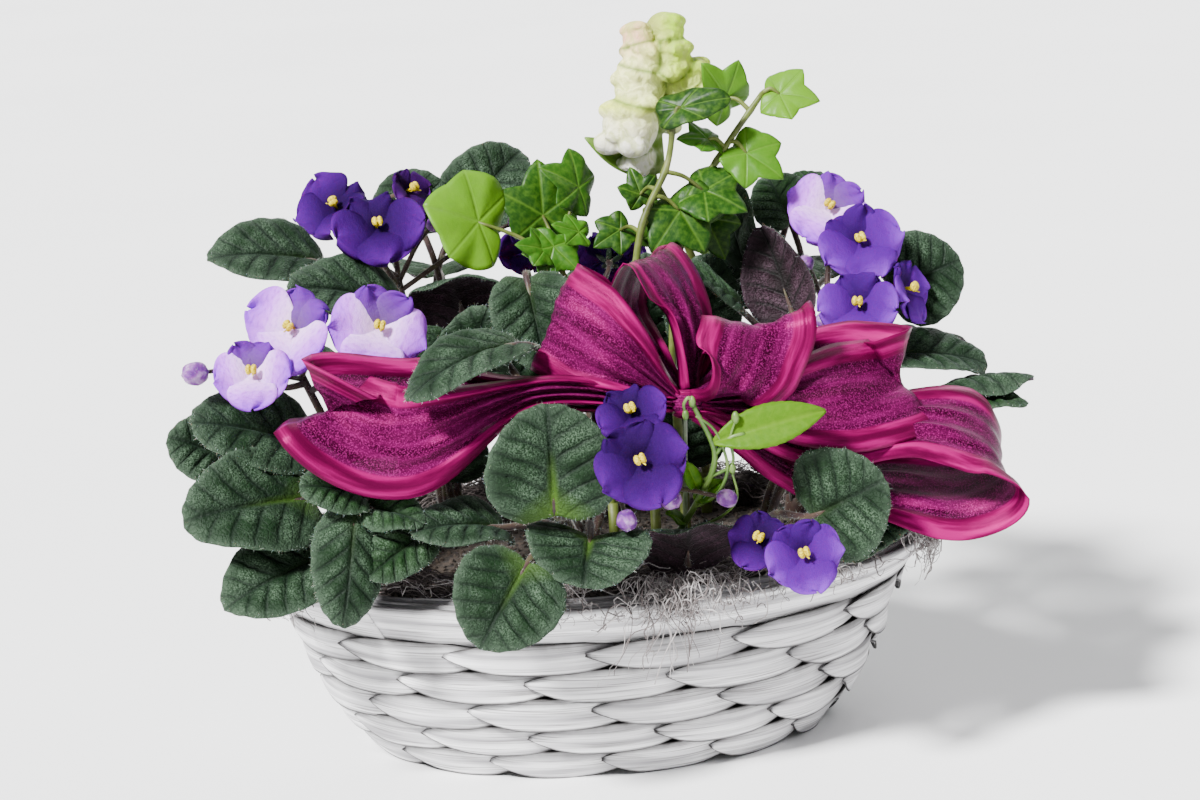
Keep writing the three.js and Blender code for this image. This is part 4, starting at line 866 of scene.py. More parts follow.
def ball(centre, size, axes=np.eye(3), rows=8, columns=10, swell=lambda up, turn: 1.0):
    """A closed rounded body. swell changes its reach by height and by turn."""
    heights = np.linspace(-math.pi / 2, math.pi / 2, rows)[1:-1]
    up, turn = net(heights, np.linspace(0, 2 * math.pi, columns, False))
    body = np.stack([np.cos(up) * np.cos(turn), np.cos(up) * np.sin(turn), np.sin(up)], -1)
    body *= (swell(up, turn) * np.ones_like(up))[..., None]
    ends = np.array([[0, 0, -1.0], [0, 0, 1.0]])
    points = np.concatenate([body.reshape(-1, 3), ends]) * size @ axes + centre
    return points, capped(rows - 2, columns)


def lance(start, along, face, length, width, rows=7, columns=5, curl=0.15):
    """A small pointed leaf, such as a sepal."""
    axes = axes_of(along, face)
    u, v = net(np.linspace(0, 1, rows), np.linspace(-1, 1, columns))
    half = width / 2 * np.sin(math.pi * np.clip(0.08 + 0.92 * u, 0, 0.995)) ** 0.8
    grid = np.stack([u * length, v * half, curl * length * u**2 + 0.2 * half * v**2], -1)
    return thin(grid[:, ::-1] @ axes + start, 0.5)


# Painted sheen: the pale hairs show as a grey bloom over the green, strongest on the raised skin and in
# patches, where they catch the light.
hair_sheen, taken, given = group(
    "hairs on a leaf", {"Raised": "Float"}, {"Grey": "Float", "Relief": "Float"}
)
specks = noise(hair_sheen, 1500.0, 3.0)
cells = add(hair_sheen, "ShaderNodeTexVoronoi", {"Vector": place_of(hair_sheen), "Scale": 620.0})
speckle = ramp(hair_sheen, specks, (0.42, 0.0), (0.62, 1.0))
patchy = ramp(hair_sheen, noise(hair_sheen, 75.0), (0.42, 0.06), (0.60, 1.0))
raised = maths(hair_sheen, "MULTIPLY_ADD", taken["Raised"], 0.75, 0.25)
give(given, Grey=maths(hair_sheen, "MULTIPLY", maths(hair_sheen, "MULTIPLY", speckle, patchy), raised),
     Relief=maths(hair_sheen, "MULTIPLY_ADD", cells.outputs[0], -0.8, specks))

# A violet leaf's veins: a middle one, and side ones that sweep forward to the rim.
tree, taken, given = group(
    "violet leaf veins", {"U": "Float", "V": "Float"},
    {"Groove": "Float", "Middle": "Float", "Relief": "Float"},
)
leaf_veins = tree
aside = maths(tree, "ABSOLUTE", taken["V"])
swept = maths(tree, "MULTIPLY_ADD", aside, -0.36, taken["U"])
swept = maths(tree, "MULTIPLY_ADD", maths(tree, "MULTIPLY", aside, aside), 0.1, swept)
phase = maths(tree, "MULTIPLY_ADD", maths(tree, "SIGN", taken["V"]), 0.3, maths(tree, "MULTIPLY", swept, 5.6))
phase = maths(tree, "MULTIPLY_ADD", maths(tree, "SUBTRACT", noise(tree, 110.0), 0.5), 0.35, phase)
off = maths(tree, "ABSOLUTE", maths(tree, "SUBTRACT", maths(tree, "FRACT", phase), 0.5))
reach = ramp(tree, aside, (0.02, 0.0), (0.12, 1.0), (0.8, 1.0), (0.95, 0.0))
side = maths(tree, "MULTIPLY", ramp(tree, off, (0.02, 1.0), (0.13, 0.0)), reach)
cells = add(tree, "ShaderNodeTexVoronoi", {"Vector": place_of(tree), "Scale": 330.0},
            feature="DISTANCE_TO_EDGE")
mesh = ramp(tree, cells.outputs[0], (0.0, 0.45), (0.10, 0.0))
middle = ramp(tree, aside, (0.015, 1.0), (0.055, 0.0))
groove = maths(tree, "MAXIMUM", maths(tree, "MAXIMUM", side, mesh), middle)
wide = ramp(tree, maths(tree, "MULTIPLY_ADD", taken["U"], 0.09, aside), (0.045, 1.0), (0.13, 0.0))
glow = maths(tree, "MULTIPLY", wide, ramp(tree, taken["U"], (0.0, 1.0), (0.62, 0.0)))
heart = ramp(tree, maths(tree, "MULTIPLY_ADD", aside, 0.45, taken["U"]), (0.02, 1.0), (0.34, 0.0))
give(given, Groove=groove, Middle=maths(tree, "MAXIMUM", glow, maths(tree, "MULTIPLY", heart, 0.75)),
     Relief=maths(tree, "MULTIPLY", groove, -1.0))


def leaf_finish(name, dark, light, grey, rib, **fixed):
    """A leaf's finish. Its young attribute goes from dark to light, and a lit heart shows at its heel. Its
    hollows and sunken veins get painted shade, and its skin and rim painted sheen.
    """
    made, tree, shader = finish(name, **fixed)
    bloom = add(tree, "ShaderNodeGroup", {"Raised": value_of(tree, "puff")}, node_tree=hair_sheen)
    veins = add(tree, "ShaderNodeGroup", {"U": value_of(tree, "leaf_u"), "V": value_of(tree, "leaf_v")},
                node_tree=leaf_veins)
    colour = blend(tree, value_of(tree, "young"), dark, light)
    # Painted shade in the hollows between the puffed skin.
    hollow_shade = maths(tree, "MULTIPLY_ADD", value_of(tree, "puff"), 0.6, 0.4)
    colour = blend(tree, hollow_shade, (0.0015, 0.005, 0.0025), colour)
    # Painted sheen: the hairs' grey over the skin, and along the rim, whose pale hairs are painted as lit.
    colour = blend(tree, maths(tree, "MULTIPLY", bloom.outputs["Grey"], 0.72), colour, grey)
    colour = blend(tree, maths(tree, "MULTIPLY", value_of(tree, "rim"), 0.4), colour, grey)
    # Painted shade in the sunken veins and the fine net of creases between them.
    colour = blend(tree, maths(tree, "MULTIPLY", veins.outputs["Groove"], 0.5), colour, (0.001, 0.004, 0.002))
    lit = maths(tree, "MULTIPLY", veins.outputs["Middle"], value_of(tree, "lit"))
    give(shader.inputs, Base_Color=blend(tree, maths(tree, "MINIMUM", lit, 1.0), colour, rib))
    relief = maths(tree, "MULTIPLY_ADD", veins.outputs["Relief"], 0.9, bloom.outputs["Relief"])
    bump(tree, shader, relief, 0.6, 0.0008)
    return made


# Each leaf finish gets its dark colour, its young colour, the painted sheen's grey and its heel's heart.
violet_leaf = leaf_finish(
    "violet leaf",
    (0.003, 0.013, 0.004), (0.012, 0.045, 0.006), (0.085, 0.135, 0.085), (0.055, 0.12, 0.010),
    Roughness=0.55, Specular_IOR_Level=0.12, Sheen_Weight=0.03, Sheen_Roughness=0.35,
    Sheen_Tint=(0.6, 0.85, 0.75, 1),
)
plum_side = leaf_finish(
    "leaf underside",
    (0.011, 0.0035, 0.008), (0.030, 0.022, 0.014), (0.085, 0.045, 0.068), (0.11, 0.04, 0.07),
    Roughness=0.6, Specular_IOR_Level=0.12, Sheen_Weight=0.06, Sheen_Roughness=0.4,
    Sheen_Tint=(0.9, 0.6, 0.8, 1),
)

hairy_stalk = mottled(
    "leaf stalk", 160.0, 3.0, (0.35, (0.020, 0.008, 0.010)), (0.55, (0.050, 0.028, 0.020)),
    (0.75, (0.055, 0.065, 0.022)), Roughness=0.5, Specular_IOR_Level=0.25, Sheen_Weight=0.15,
)
bud_skin = mottled(
    "bud", 240.0, 3.0, (0.35, (0.08, 0.015, 0.15)), (0.5, (0.17, 0.045, 0.24)), (0.68, (0.36, 0.22, 0.42)),
    Roughness=0.5, Specular_IOR_Level=0.2, Subsurface_Weight=0.1, Subsurface_Scale=0.003,
)
white_hair = mottled(
    "fine hair", 400.0, 2.0, (0.3, (0.20, 0.25, 0.20)), (0.7, (0.48, 0.50, 0.48)),
    Roughness=0.4, Subsurface_Weight=0.2, Subsurface_Scale=0.001,
)

hairs, taken, given = tree_of(
    "hairs on a skin", Density=("Float", 100000.0), Length=("Float", 0.0012), Thickness=("Float", 0.00005),
    Seed=("Int", 1), Finish=("Material", None),
)
where = add(hairs, "GeometryNodeInputNamedAttribute", {0: "hairy"}, data_type="FLOAT")
density = add(hairs, "ShaderNodeMath", {0: where.outputs[0], 1: taken["Density"]}, operation="MULTIPLY")
roots = add(hairs, "GeometryNodeDistributePointsOnFaces", {
    "Mesh": taken["Geometry"], "Density": density.outputs[0], "Seed": taken["Seed"],
})
hair = add(hairs, "GeometryNodeMeshCone", {
    "Vertices": 3, "Radius Top": 0.000008, "Radius Bottom": taken["Thickness"], "Depth": taken["Length"],
})
leaning = add(hairs, "FunctionNodeRotateEuler", {
    0: roots.outputs["Rotation"], 1: at_random(hairs, (-0.7, -0.7, 0), (0.7, 0.7, 6.3), taken["Seed"]),
}, rotation_type="EULER", space="LOCAL")
sizes = add(hairs, "FunctionNodeRandomValue", {2: 0.55, 3: 1.3, "Seed": taken["Seed"]}, data_type="FLOAT")
planted = add(hairs, "GeometryNodeInstanceOnPoints", {
    "Points": roots.outputs[0], "Instance": hair.outputs[0], "Rotation": leaning.outputs[0],
    "Scale": sizes.outputs["Value"],
})
paint(hairs, planted, taken, given)


def ring_of(a, b, count=5):
    """Directions evenly round, from one axis toward the other."""
    for turn in np.linspace(0, 2 * math.pi, count, endpoint=False):
        yield math.cos(turn) * a + math.sin(turn) * b


def furrow(up, turn):
    """The soft ribs of a bud, where its petals are rolled."""
    return 1 - 0.09 * np.abs(np.sin(2.5 * turn + 0.8 * up)) + 0.06 * np.sin(up)


CALYX_DEPTH, CALYX_RADIUS, NECK = 4.1, 2.4, 9
RIB_RADII = (1.2, 0.9, 0.6, 0.3)  # where a stalk runs on under its leaf
LEAF, STALK, BUD = 0, 2, 3  # the finishes' places
for number, (place, plant) in enumerate(VIOLETS.items()):
    crown, hub = np.array([*plant["crown"], CROWN_MIDDLE]), np.array(plant["hub"], float)
    shape = Shape("leaf_u", "leaf_v", "lit", "puff", "hairy", "rim", "young")
    foot = [(*plant["crown"], z) for z in (HOLE_FLOOR + 0.5, 80, CROWN_MIDDLE, 94, CROWN_TOP)]
    shape.take(*tube(foot, [6.6, 6.9, 6.8, 6.0, 2.5], 12), STALK, hairy=0.3)
    for i, (heel, tip, face, width, *own) in enumerate(plant["leaves"]):
        own = dict(*own)
        rib, arch = own.pop("rib", 0.12), own.get("arch", 0.06)
        heel, tip = np.array(heel, float), np.array(tip, float)
        length, axes = np.linalg.norm(tip - heel), axes_of(tip - heel, face)
        points, values = leaf_blade(heel, axes, length, width, 1.7 * i + number, **own)
        shape.take_blade(points, LEAF_FACES, young=0.12 if width > 30 else 0.45, lit=rib, **values)
        away = (heel - crown) * (1, 1, 0)
        start = crown + unit(away) * (CROWN_RADIUS - 3) + (0, 0, (i % 3) * 3.5)
        end = heel + np.array([0.14 * length, 0, 4 * arch * 0.14 * 0.86 * length - 1.5]) @ axes
        span = np.linalg.norm(end - start)
        rise = start + 0.15 * (end - start) + (0, 0, 0.55 * span)
        bend = end + np.array([-0.3 * span, 0, -0.06 * span]) @ axes
        ridge = end + np.array([0.26 * length, 0, 0.0]) @ axes
        stem = bezier(start, rise, bend, end, 16)
        radii = np.append(np.linspace(2.0, 1.5, len(stem)), RIB_RADII)
        under = path_through([end, (end + ridge) / 2, ridge], len(RIB_RADII) + 1)[1:]
        shape.take(*tube(np.concatenate([stem, under]), radii), STALK, hairy=0.5)
    stalk_top = np.array([*plant["crown"], CROWN_TOP - 4.0])
    middle = (stalk_top + hub) / 2 + (0, 0, 2)
    line = path_through([stalk_top, middle, hub], 10)
    shape.take(*tube(line, np.linspace(2.3, 1.8, len(line))), STALK, hairy=0.5)
    fork = unit(hub - stalk_top) * 4
    for i, (centre, face, *_) in enumerate(plant["blooms"]):
        face = unit(face)
        mouth = np.array(centre, float) - face * CALYX_DEPTH
        neck, start = mouth - face * NECK, hub - fork * i
        line = path_through([start, (start + neck) / 2 - (0, 0, 4), neck, mouth], 14)
        radii = np.append(np.linspace(1.6, 1.1, len(line) - 2), [1.5, CALYX_RADIUS])
        shape.take(*tube(line, radii), STALK, hairy=0.5)
        for outward in ring_of(*axes_of(face, (0.3, 0.5, 0.8))[1:]):
            sepal = lance(mouth - face * 1.5 + outward * 0.8, face * 0.5 + outward, face, 7.5, 2.8)
            shape.take(*sepal, LEAF, young=0.4, puff=0.4, hairy=0.3)
    for i, (*top, size) in enumerate(plant["buds"]):
        top, start = np.array(top, float), hub - fork * (i + 0.5)
        line = path_through([start, start + 0.6 * (top - start) + (0, 0, 3), top], 10)
        shape.take(*tube(line, np.linspace(1.3, 0.9, len(line)), 7), STALK, hairy=0.6)
        axes = axes_of(line[-1] - line[-2], (0.2, -0.9, 0.3))[[1, 2, 0]]
        shape.take(*ball(top, (size, size, 1.2 * size), axes, 11, 20, furrow), BUD, hairy=0.25)
        for outward in ring_of(axes[0], axes[1]):
            sepal = lance(top - axes[2] * size * 0.95 + outward * 0.9, axes[2] * 0.9 + outward * 0.55,
                          -outward, 1.5 * size, 0.8 * size, curl=0.3)
            shape.take(*sepal, LEAF, young=0.3, puff=0.3, hairy=0.5)
    foliage = shape.piece(f"violet_{place}", violet_leaf, plum_side, hairy_stalk, bud_skin)
    fuzz = object_of(f"violet_{place}_hairs", grown(
        foliage, hairs, white_hair, Density=700000.0, Length=0.0013, Thickness=0.00005, Seed=number,
    ))
    settle(foliage, "violet_leaf", f"violet_{place}_foliage")
    settle(fuzz, "violet_leaf")

# ---- Violet blooms -----------------------------------------------------------------------
# Each bloom is five thin petals joined at a short throat: three broad ones below and two small
# ones above. Two fat yellow anthers stand side by side in the throat.

PETALS = (  # a turn and half a width in degrees, a length, how far forward, and how dark
    (0, 38, 1.0, 2.6, 0), (76, 40, 0.97, 1.2, 0), (148, 30, 0.8, -0.6, 0.9), (212, 30, 0.8, -1.6, 0.9),
    (284, 40, 0.97, 0.4, 0),
)
PETAL_THICKNESS = 0.45


def petal_finish(name, inner, middle, edge, dark, dark_edge):
    """A petal's finish: from its throat to its edge, and darker where its shade attribute says."""
    made, tree, shader = finish(name, Roughness=0.6, Specular_IOR_Level=0.04, Subsurface_Weight=0.1,
                                Subsurface_Scale=0.002)
    reach = value_of(tree, "reach")
    lines = add(tree, "ShaderNodeCombineXYZ", {
        0: maths(tree, "MULTIPLY", reach, 2.2), 1: value_of(tree, "aside"),
    })
    veins = noise(tree, 7.0, 4.0, lines.outputs[0])
    sparkle = add(tree, "ShaderNodeTexVoronoi", {"Vector": place_of(tree), "Scale": 2600.0}).outputs[0]
    uneven = maths(tree, "MULTIPLY_ADD", maths(tree, "SUBTRACT", veins, 0.5), 0.35, reach)
    pale = ramp(tree, uneven, (0.15, inner), (0.60, middle), (0.98, edge))
    deep = ramp(tree, uneven, (0.1, dark), (0.9, dark_edge))
    colour = blend(tree, value_of(tree, "shade"), pale, deep)
    colour = blend(tree, ramp(tree, veins, (0.52, 0.0), (0.72, 0.2)), colour, dark)
    glint = ramp(tree, sparkle, (0.0, 0.10), (0.3, 0.0))
    give(shader.inputs, Base_Color=blend(tree, glint, colour, (0.30, 0.16, 0.60)))
    bump(tree, shader, maths(tree, "MULTIPLY_ADD", sparkle, -0.6, veins), 0.5, 0.0008)
    return made


PETAL_FINISHES = {
    "petal_dark": petal_finish("deep violet petal", (0.009, 0.0004, 0.030), (0.026, 0.0006, 0.080),
                               (0.058, 0.003, 0.155), (0.007, 0.0003, 0.022), (0.018, 0.0005, 0.058)),
    "petal_mid": petal_finish("mid violet petal", (0.045, 0.002, 0.13), (0.070, 0.004, 0.20),
                              (0.150, 0.022, 0.38), (0.014, 0.0006, 0.048), (0.038, 0.0015, 0.12)),
    "petal_pale": petal_finish("pale violet petal", (0.80, 0.50, 0.90), (0.50, 0.125, 0.82),
                               (0.25, 0.030, 0.60), (0.030, 0.0012, 0.095), (0.085, 0.005, 0.25)),
    "petal_plum": petal_finish("plum violet petal", (0.014, 0.0008, 0.030), (0.030, 0.0015, 0.07),
                               (0.06, 0.006, 0.12), (0.009, 0.0005, 0.025), (0.022, 0.001, 0.055)),
}


def petal(centre, radius, axes, turn, half, length, forward, seed):
    """One petal, pinched at the throat and waved at its rounded edge."""
    p, q = net(1 - (1 - np.linspace(0, 1, 19)) ** 1.9, np.linspace(-1, 1, 15))
    long = radius * length
    width = 1.04 * long * math.sin(math.radians(half))
    throat = np.sin(math.pi / 2 * (0.07 + 0.93 * np.clip(p / 0.56, 0, 1))) ** 0.85
    span = width * throat * np.sqrt(1 - np.clip((p - 0.56) / 0.44, 0, 0.997) ** 2)
    along = long * (1.5 + 98.5 * p) / 100 * (1 + 0.04 * np.cos(3 * q + seed) * p)
    wave = radius * (0.08 * np.sin(4 * q + 1.3 * seed) * p**2 + 0.06 * np.sin(8 * q + 5 * p + seed) * p**3)
    rise = forward * np.clip(p * 3 - 0.4, 0, 1) + 0.12 * along - 2.5 * np.clip(1 - along / radius * 3, 0, 1)
    rise = rise + wave - 0.12 * radius * q**2 * p - 0.10 * radius * p**3 * math.cos(seed)
    angle = math.radians(turn)
    grid = (
        along[..., None] * (math.cos(angle) * axes[0] + math.sin(angle) * axes[1])
        + (q * span)[..., None] * (-math.sin(angle) * axes[0] + math.cos(angle) * axes[1])
        + rise[..., None] * axes[2] + centre
    )
    return *thin(grid, PETAL_THICKNESS), dict(reach=along / radius, aside=q * span / radius)


def cleft(up, turn):
    """The dent down a pollen sac."""
    return 1 - 0.18 * np.exp(-(((turn - math.pi / 2) / 0.5) ** 2)) + 0.05 * np.cos(2 * up)


pollen = mottled(
    "pollen sac", 1400.0, 3.0, (0.35, (0.30, 0.19, 0.002)), (0.55, (0.60, 0.46, 0.006)),
    (0.75, (0.80, 0.70, 0.10)), relief=(0.6, 0.0004), Roughness=0.5, Specular_IOR_Level=0.2,
)

for number, (place, plant) in enumerate(VIOLETS.items()):
    for i, (centre, face, lip, radius, slot) in enumerate(plant["blooms"]):
        centre, face, lip = np.array(centre, float), unit(face), np.array(lip, float)
        axes = axes_of(lip - np.dot(lip, face) * face, face)
        corolla = Shape("reach", "aside", "shade")
        for j, (*form, shade) in enumerate(PETALS):
            points, faces, values = petal(centre, radius, axes, *form, 2.1 * j + 1.3 * i + number)
            corolla.take(points, faces, 0, shade=shade, **values)
        made = corolla.piece(f"bloom_{place}_{i + 1}", PETAL_FINISHES[slot])
        settle(made, slot, f"violet_{place}_bloom_{i + 1}")
        sacs = Shape()
        for side in (-1, 1):
            at = centre + np.array([-0.3, 1.15 * side, 3.6]) @ axes
            sacs.take(*ball(at, (2.2, 1.45, 1.7), axes, 9, 14, cleft))
        stem = [centre + np.array(p) @ axes for p in ((0, 0, -1.5), (0, 0, 1.0), (-0.2, 0, 3.0))]
        sacs.take(*tube(stem, [0.7, 0.6, 0.6], 6))
        pin = [centre + np.array(p) @ axes for p in ((0.6, 0, 0), (1.6, 0.4, 3.0), (2.6, 1.0, 5.2))]
        pin = path_through(pin, 6)
        sacs.take(*tube(pin, np.linspace(0.4, 0.3, len(pin)), 6))
        settle(sacs.piece(f"anthers_{place}_{i + 1}", pollen), "pollen", f"violet_{place}_anthers_{i + 1}")

# ---- Ivy ---------------------------------------------------------------------------------
# Three stems of trailing ivy with five-pointed leaves on short stalks. Old leaves are dark and
# glossy with pale veins, and the young ones at the stems' ends are thin and lime green.

IVY_LOBES = ((0, 1), (30, 0.60), (56, 0.84), (91, 0.56), (128, 0.62), (180, 0.34))
IVY_VEINS = (0, 56, 128)
IVY_HEEL, IVY_FOLD, IVY_CURL = 0.3, 0.12, 0.1
IVY_RINGS, IVY_STEPS = 9, 7
# A stem's line. Each leaf's heel, tip, upper side, how young it is and what isn't usual in it.
IVY = {
    "left": {
        "stem": [(10, 6, 97), (6, 8, 160), (-8, 14, 214)],
        "leaves": [
            ((-33, 18, 229), (-66, 8, 246), (-0.1, -0.8, 0.6), 0.95, dict(width=1.05, soft=0.62)),
            ((-13, 26, 222), (-13, 34, 258), (0.2, -0.85, 0.5), 0.22),
            ((-8, 12, 228), (-16, 0, 208), (0.1, -0.85, 0.5), 0.42),
            ((10, 26, 240), (-12, 16, 258), (-0.1, -0.7, 0.7), 0.3),
            ((6, 6, 226), (-11, 0, 234), (0, -0.7, 0.7), 0.5, dict(width=0.7)),
            ((-9, 10, 219), (-27, 2, 226), (0, -0.75, 0.6), 0.38, dict(width=0.8)),
        ],
    },
    "tall": {
        "stem": [(28, -6, 97), (22, -8, 180), (28, -4, 230), (42, 6, 256), (46, 8, 276)],
        "leaves": [
            ((42, 6, 243), (56, -8, 218), (0.1, -0.9, 0.4), 0.16, dict(width=1.1)),
            ((50, 10, 246), (76, -4, 236), (0.2, -0.75, 0.6), 0.2),
            ((40, 10, 278), (71, 2, 286), (0, -0.8, 0.6), 0.06, dict(width=0.45, soft=0.9)),
            ((25, 10, 230), (7, 2, 222), (0, -0.85, 0.5), 0.15, dict(width=0.8)),
            ((32, 14, 236), (27, 20, 254), (0.1, -0.85, 0.4), 0.1, dict(width=0.8)),
            ((37, 8, 232), (36, 0, 214), (0.1, -0.85, 0.5), 0.1, dict(width=0.9)),
        ],
    },
    "right": {
        "stem": [(44, 14, 97), (42, 14, 180), (52, 16, 232), (68, 16, 258), (88, 20, 283)],
        "leaves": [
            ((88, 20, 283), (112, 10, 281), (-0.1, -0.75, 0.65), 0.95),
            ((76, 26, 274), (62, 18, 298), (-0.1, -0.8, 0.6), 0.75),
            ((72, 16, 262), (94, 4, 247), (0.1, -0.85, 0.5), 0.65, dict(width=0.85)),
            ((68, 18, 263), (48, 10, 268), (-0.1, -0.6, 0.8), 0.45, dict(width=0.75)),
            ((56, 18, 236), (67, 6, 212), (0.1, -0.85, 0.4), 0.1, dict(width=0.8)),
        ],
    },
}


def ivy_turns():
    """Turns round an ivy leaf, as many in each lobe as in each bay."""
    ends = [degrees for degrees, _ in IVY_LOBES]
    half = np.concatenate([np.linspace(a, b, IVY_STEPS, False) for a, b in zip(ends, ends[1:])])
    return np.radians(np.concatenate([half, [180], 360 - half[:0:-1]]))


def ivy_reach(turn):
    """How far an ivy leaf reaches at a turn: pointed at its lobes and round in its bays."""
    degrees = np.abs((np.degrees(turn) + 180) % 360 - 180)
    reach = np.full_like(degrees, IVY_LOBES[-1][1])
    for (a, first), (b, last) in zip(IVY_LOBES, IVY_LOBES[1:]):
        share = past(degrees, a, b - a)
        value = first + (last - first) * share**1.12
        if first > last:
            value = last + (first - last) * (1 - share) ** 1.12
        reach = np.where((degrees >= a - 1e-6) & (degrees <= b + 1e-6), value, reach)
    return reach


def ivy_blade(heel, tip, face, seed, width=0.9, soft=None):
    """An ivy leaf's points, folded a little along its middle and waved at its rim."""
    heel, tip = np.array(heel, float), np.array(tip, float)
    length, axes = np.linalg.norm(tip - heel), axes_of(tip - heel, face)
    out, turn = net(np.linspace(0, 1, IVY_RINGS + 1)[1:] ** 0.85, ivy_turns())
    if soft is None:
        soft = 0.08 + 0.08 * math.sin(1.7 * seed)
    oval = 0.72 + 0.16 * np.cos(turn) + 0.08 * np.cos(3 * turn)
    reach = ((1 - soft) * ivy_reach(turn) + soft * oval) * out
    u, v = reach * np.cos(turn), reach * np.sin(turn)
    x, y = length * (IVY_HEEL + (1 - IVY_HEEL) * u), 0.85 * length * width * v
    lift = IVY_FOLD * np.sqrt(y**2 + 1) - IVY_CURL * (x - IVY_HEEL * length) ** 2 / length
    lift += length * (0.035 * np.sin(3 * turn + seed) + 0.02 * np.sin(7 * turn + 2 * seed)) * out**2
    lift -= 0.05 * length * out**3
    for angle in np.radians(IVY_VEINS):
        off = np.abs(u * math.sin(angle) - np.abs(v) * math.cos(angle))
        ahead = u * math.cos(angle) + np.abs(v) * math.sin(angle) > 0
        lift -= 0.35 * np.exp(-((off / 0.07) ** 2)) * ahead
    thick = 0.75 * (1 - 0.5 * out**3)
    points = blade((IVY_HEEL * length, 0, IVY_FOLD), 0.7, x, y, (lift + thick / 2, lift - thick / 2))
    return heel + points @ axes, dict(leaf_u=np.append(0, u), leaf_v=np.append(0, v))


# Veins run from the stalk to each point of the leaf, with finer ones off the middle one.
tree, taken, given = group("ivy veins", {"U": "Float", "V": "Float"}, {"Vein": "Float", "Relief": "Float"})
ivy_veins, nearest = tree, None
aside = maths(tree, "ABSOLUTE", taken["V"])
for angle in np.radians(IVY_VEINS):
    across = maths(tree, "MULTIPLY", taken["U"], math.sin(angle))
    off = maths(tree, "ABSOLUTE", maths(tree, "MULTIPLY_ADD", aside, -math.cos(angle), across))
    beyond = maths(tree, "MULTIPLY", taken["U"], -math.cos(angle))
    behind = maths(tree, "MULTIPLY_ADD", aside, -math.sin(angle), beyond)
    off = maths(tree, "ADD", off, maths(tree, "MAXIMUM", behind, 0.0))
    nearest = maths(tree, "MINIMUM", nearest, off) if nearest else off
rungs = maths(tree, "MULTIPLY", maths(tree, "MULTIPLY_ADD", aside, -0.9, taken["U"]), 7.5)
rungs = maths(tree, "ABSOLUTE", maths(tree, "SUBTRACT", maths(tree, "FRACT", rungs), 0.5))
main = ramp(tree, nearest, (0.0, 1.0), (0.014, 0.7), (0.035, 0.0))
give(given, Vein=maths(tree, "MAXIMUM", main, ramp(tree, rungs, (0.0, 0.3), (0.07, 0.0))),
     Relief=maths(tree, "MULTIPLY_ADD", main, -0.9, noise(tree, 260.0, 3.0)))


def ivy_finish(name, stops, vein, strength, **fixed):
    """A smooth leaf's finish, from its old colour to its young one, with veins of their own colour."""
    made, tree, shader = finish(name, **fixed)
    lines = add(tree, "ShaderNodeGroup", {"U": value_of(tree, "leaf_u"), "V": value_of(tree, "leaf_v")},
                node_tree=ivy_veins)
    patches = maths(tree, "SUBTRACT", noise(tree, 90.0, 3.0), 0.5)
    colour = ramp(tree, maths(tree, "MULTIPLY_ADD", patches, 0.35, value_of(tree, "young")), *stops)
    colour = blend(tree, ramp(tree, noise(tree, 420.0, 4.0), (0.42, 0.0), (0.66, 0.3)), colour, vein)
    colour = blend(tree, maths(tree, "MULTIPLY", lines.outputs["Vein"], strength), colour, vein)
    give(shader.inputs, Base_Color=colour)
    bump(tree, shader, lines.outputs["Relief"], 0.45, 0.0006)
    return made


ivy_leaf = ivy_finish(
    "ivy leaf",
    ((0.0, (0.0035, 0.018, 0.0012)), (0.25, (0.009, 0.045, 0.002)), (0.5, (0.026, 0.105, 0.004)),
     (1.0, (0.085, 0.21, 0.005))),
    (0.08, 0.17, 0.015), 0.45, Roughness=0.42, Specular_IOR_Level=0.16,
)
ivy_under = ivy_finish(
    "ivy underside", ((0.0, (0.016, 0.045, 0.012)), (0.45, (0.04, 0.11, 0.018)), (1.0, (0.11, 0.20, 0.02))),
    (0.12, 0.20, 0.05), 0.4, Roughness=0.5, Specular_IOR_Level=0.14,
)
ivy_bark = mottled(
    "ivy stem", 110.0, 3.0, (0.35, (0.045, 0.055, 0.010)), (0.55, (0.09, 0.12, 0.018)),
    (0.75, (0.15, 0.16, 0.05)), relief=(0.3, 0.0004), Roughness=0.5, Specular_IOR_Level=0.3,
)

IVY_FACES = blade_faces(IVY_RINGS, len(ivy_turns()))
for number, (place, plant) in enumerate(IVY.items()):
    vine = Shape("leaf_u", "leaf_v", "young")
    foot = plant["stem"][0]
    vine.take(*tube([(foot[0], foot[1], z) for z in (HOLE_FLOOR + 0.5, 85, 102)], 2.4, 10), 2)
    line = path_through(plant["stem"], 40)
    knots = np.exp(-(((np.arange(len(line)) % 8) - 4.0) ** 2) / 0.8)
    vine.take(*tube(line, np.linspace(1.9, 1.3, len(line)) * (1 + 0.22 * knots), 9), 2)
    for i, (heel, tip, face, young, *own) in enumerate(plant["leaves"]):
        points, values = ivy_blade(heel, tip, face, 1.9 * i + 2.3 * number, **dict(*own))
        vine.take_blade(points, IVY_FACES, young=young, **values)
        pole = points[len(points) // 2]
        nearest = line[np.argmin(np.linalg.norm(line - pole, axis=1))]
        bend = (nearest + pole) / 2 + (0, 0, 3)
        stalk = bezier(nearest, bend, bend, pole, 12)
        vine.take(*tube(stalk, np.linspace(1.15, 0.8, len(stalk)), 7), 2)
    settle(vine.piece(f"ivy_{place}", ivy_leaf, ivy_under, ivy_bark), "ivy_leaf", f"ivy_stem_{place}")

# ---- Snapdragon --------------------------------------------------------------------------
# One spike of snapdragon. Its florets are soft closed pouches, each with two curled lips, cream
# white with a green throat. The top of the spike is still in green bud.

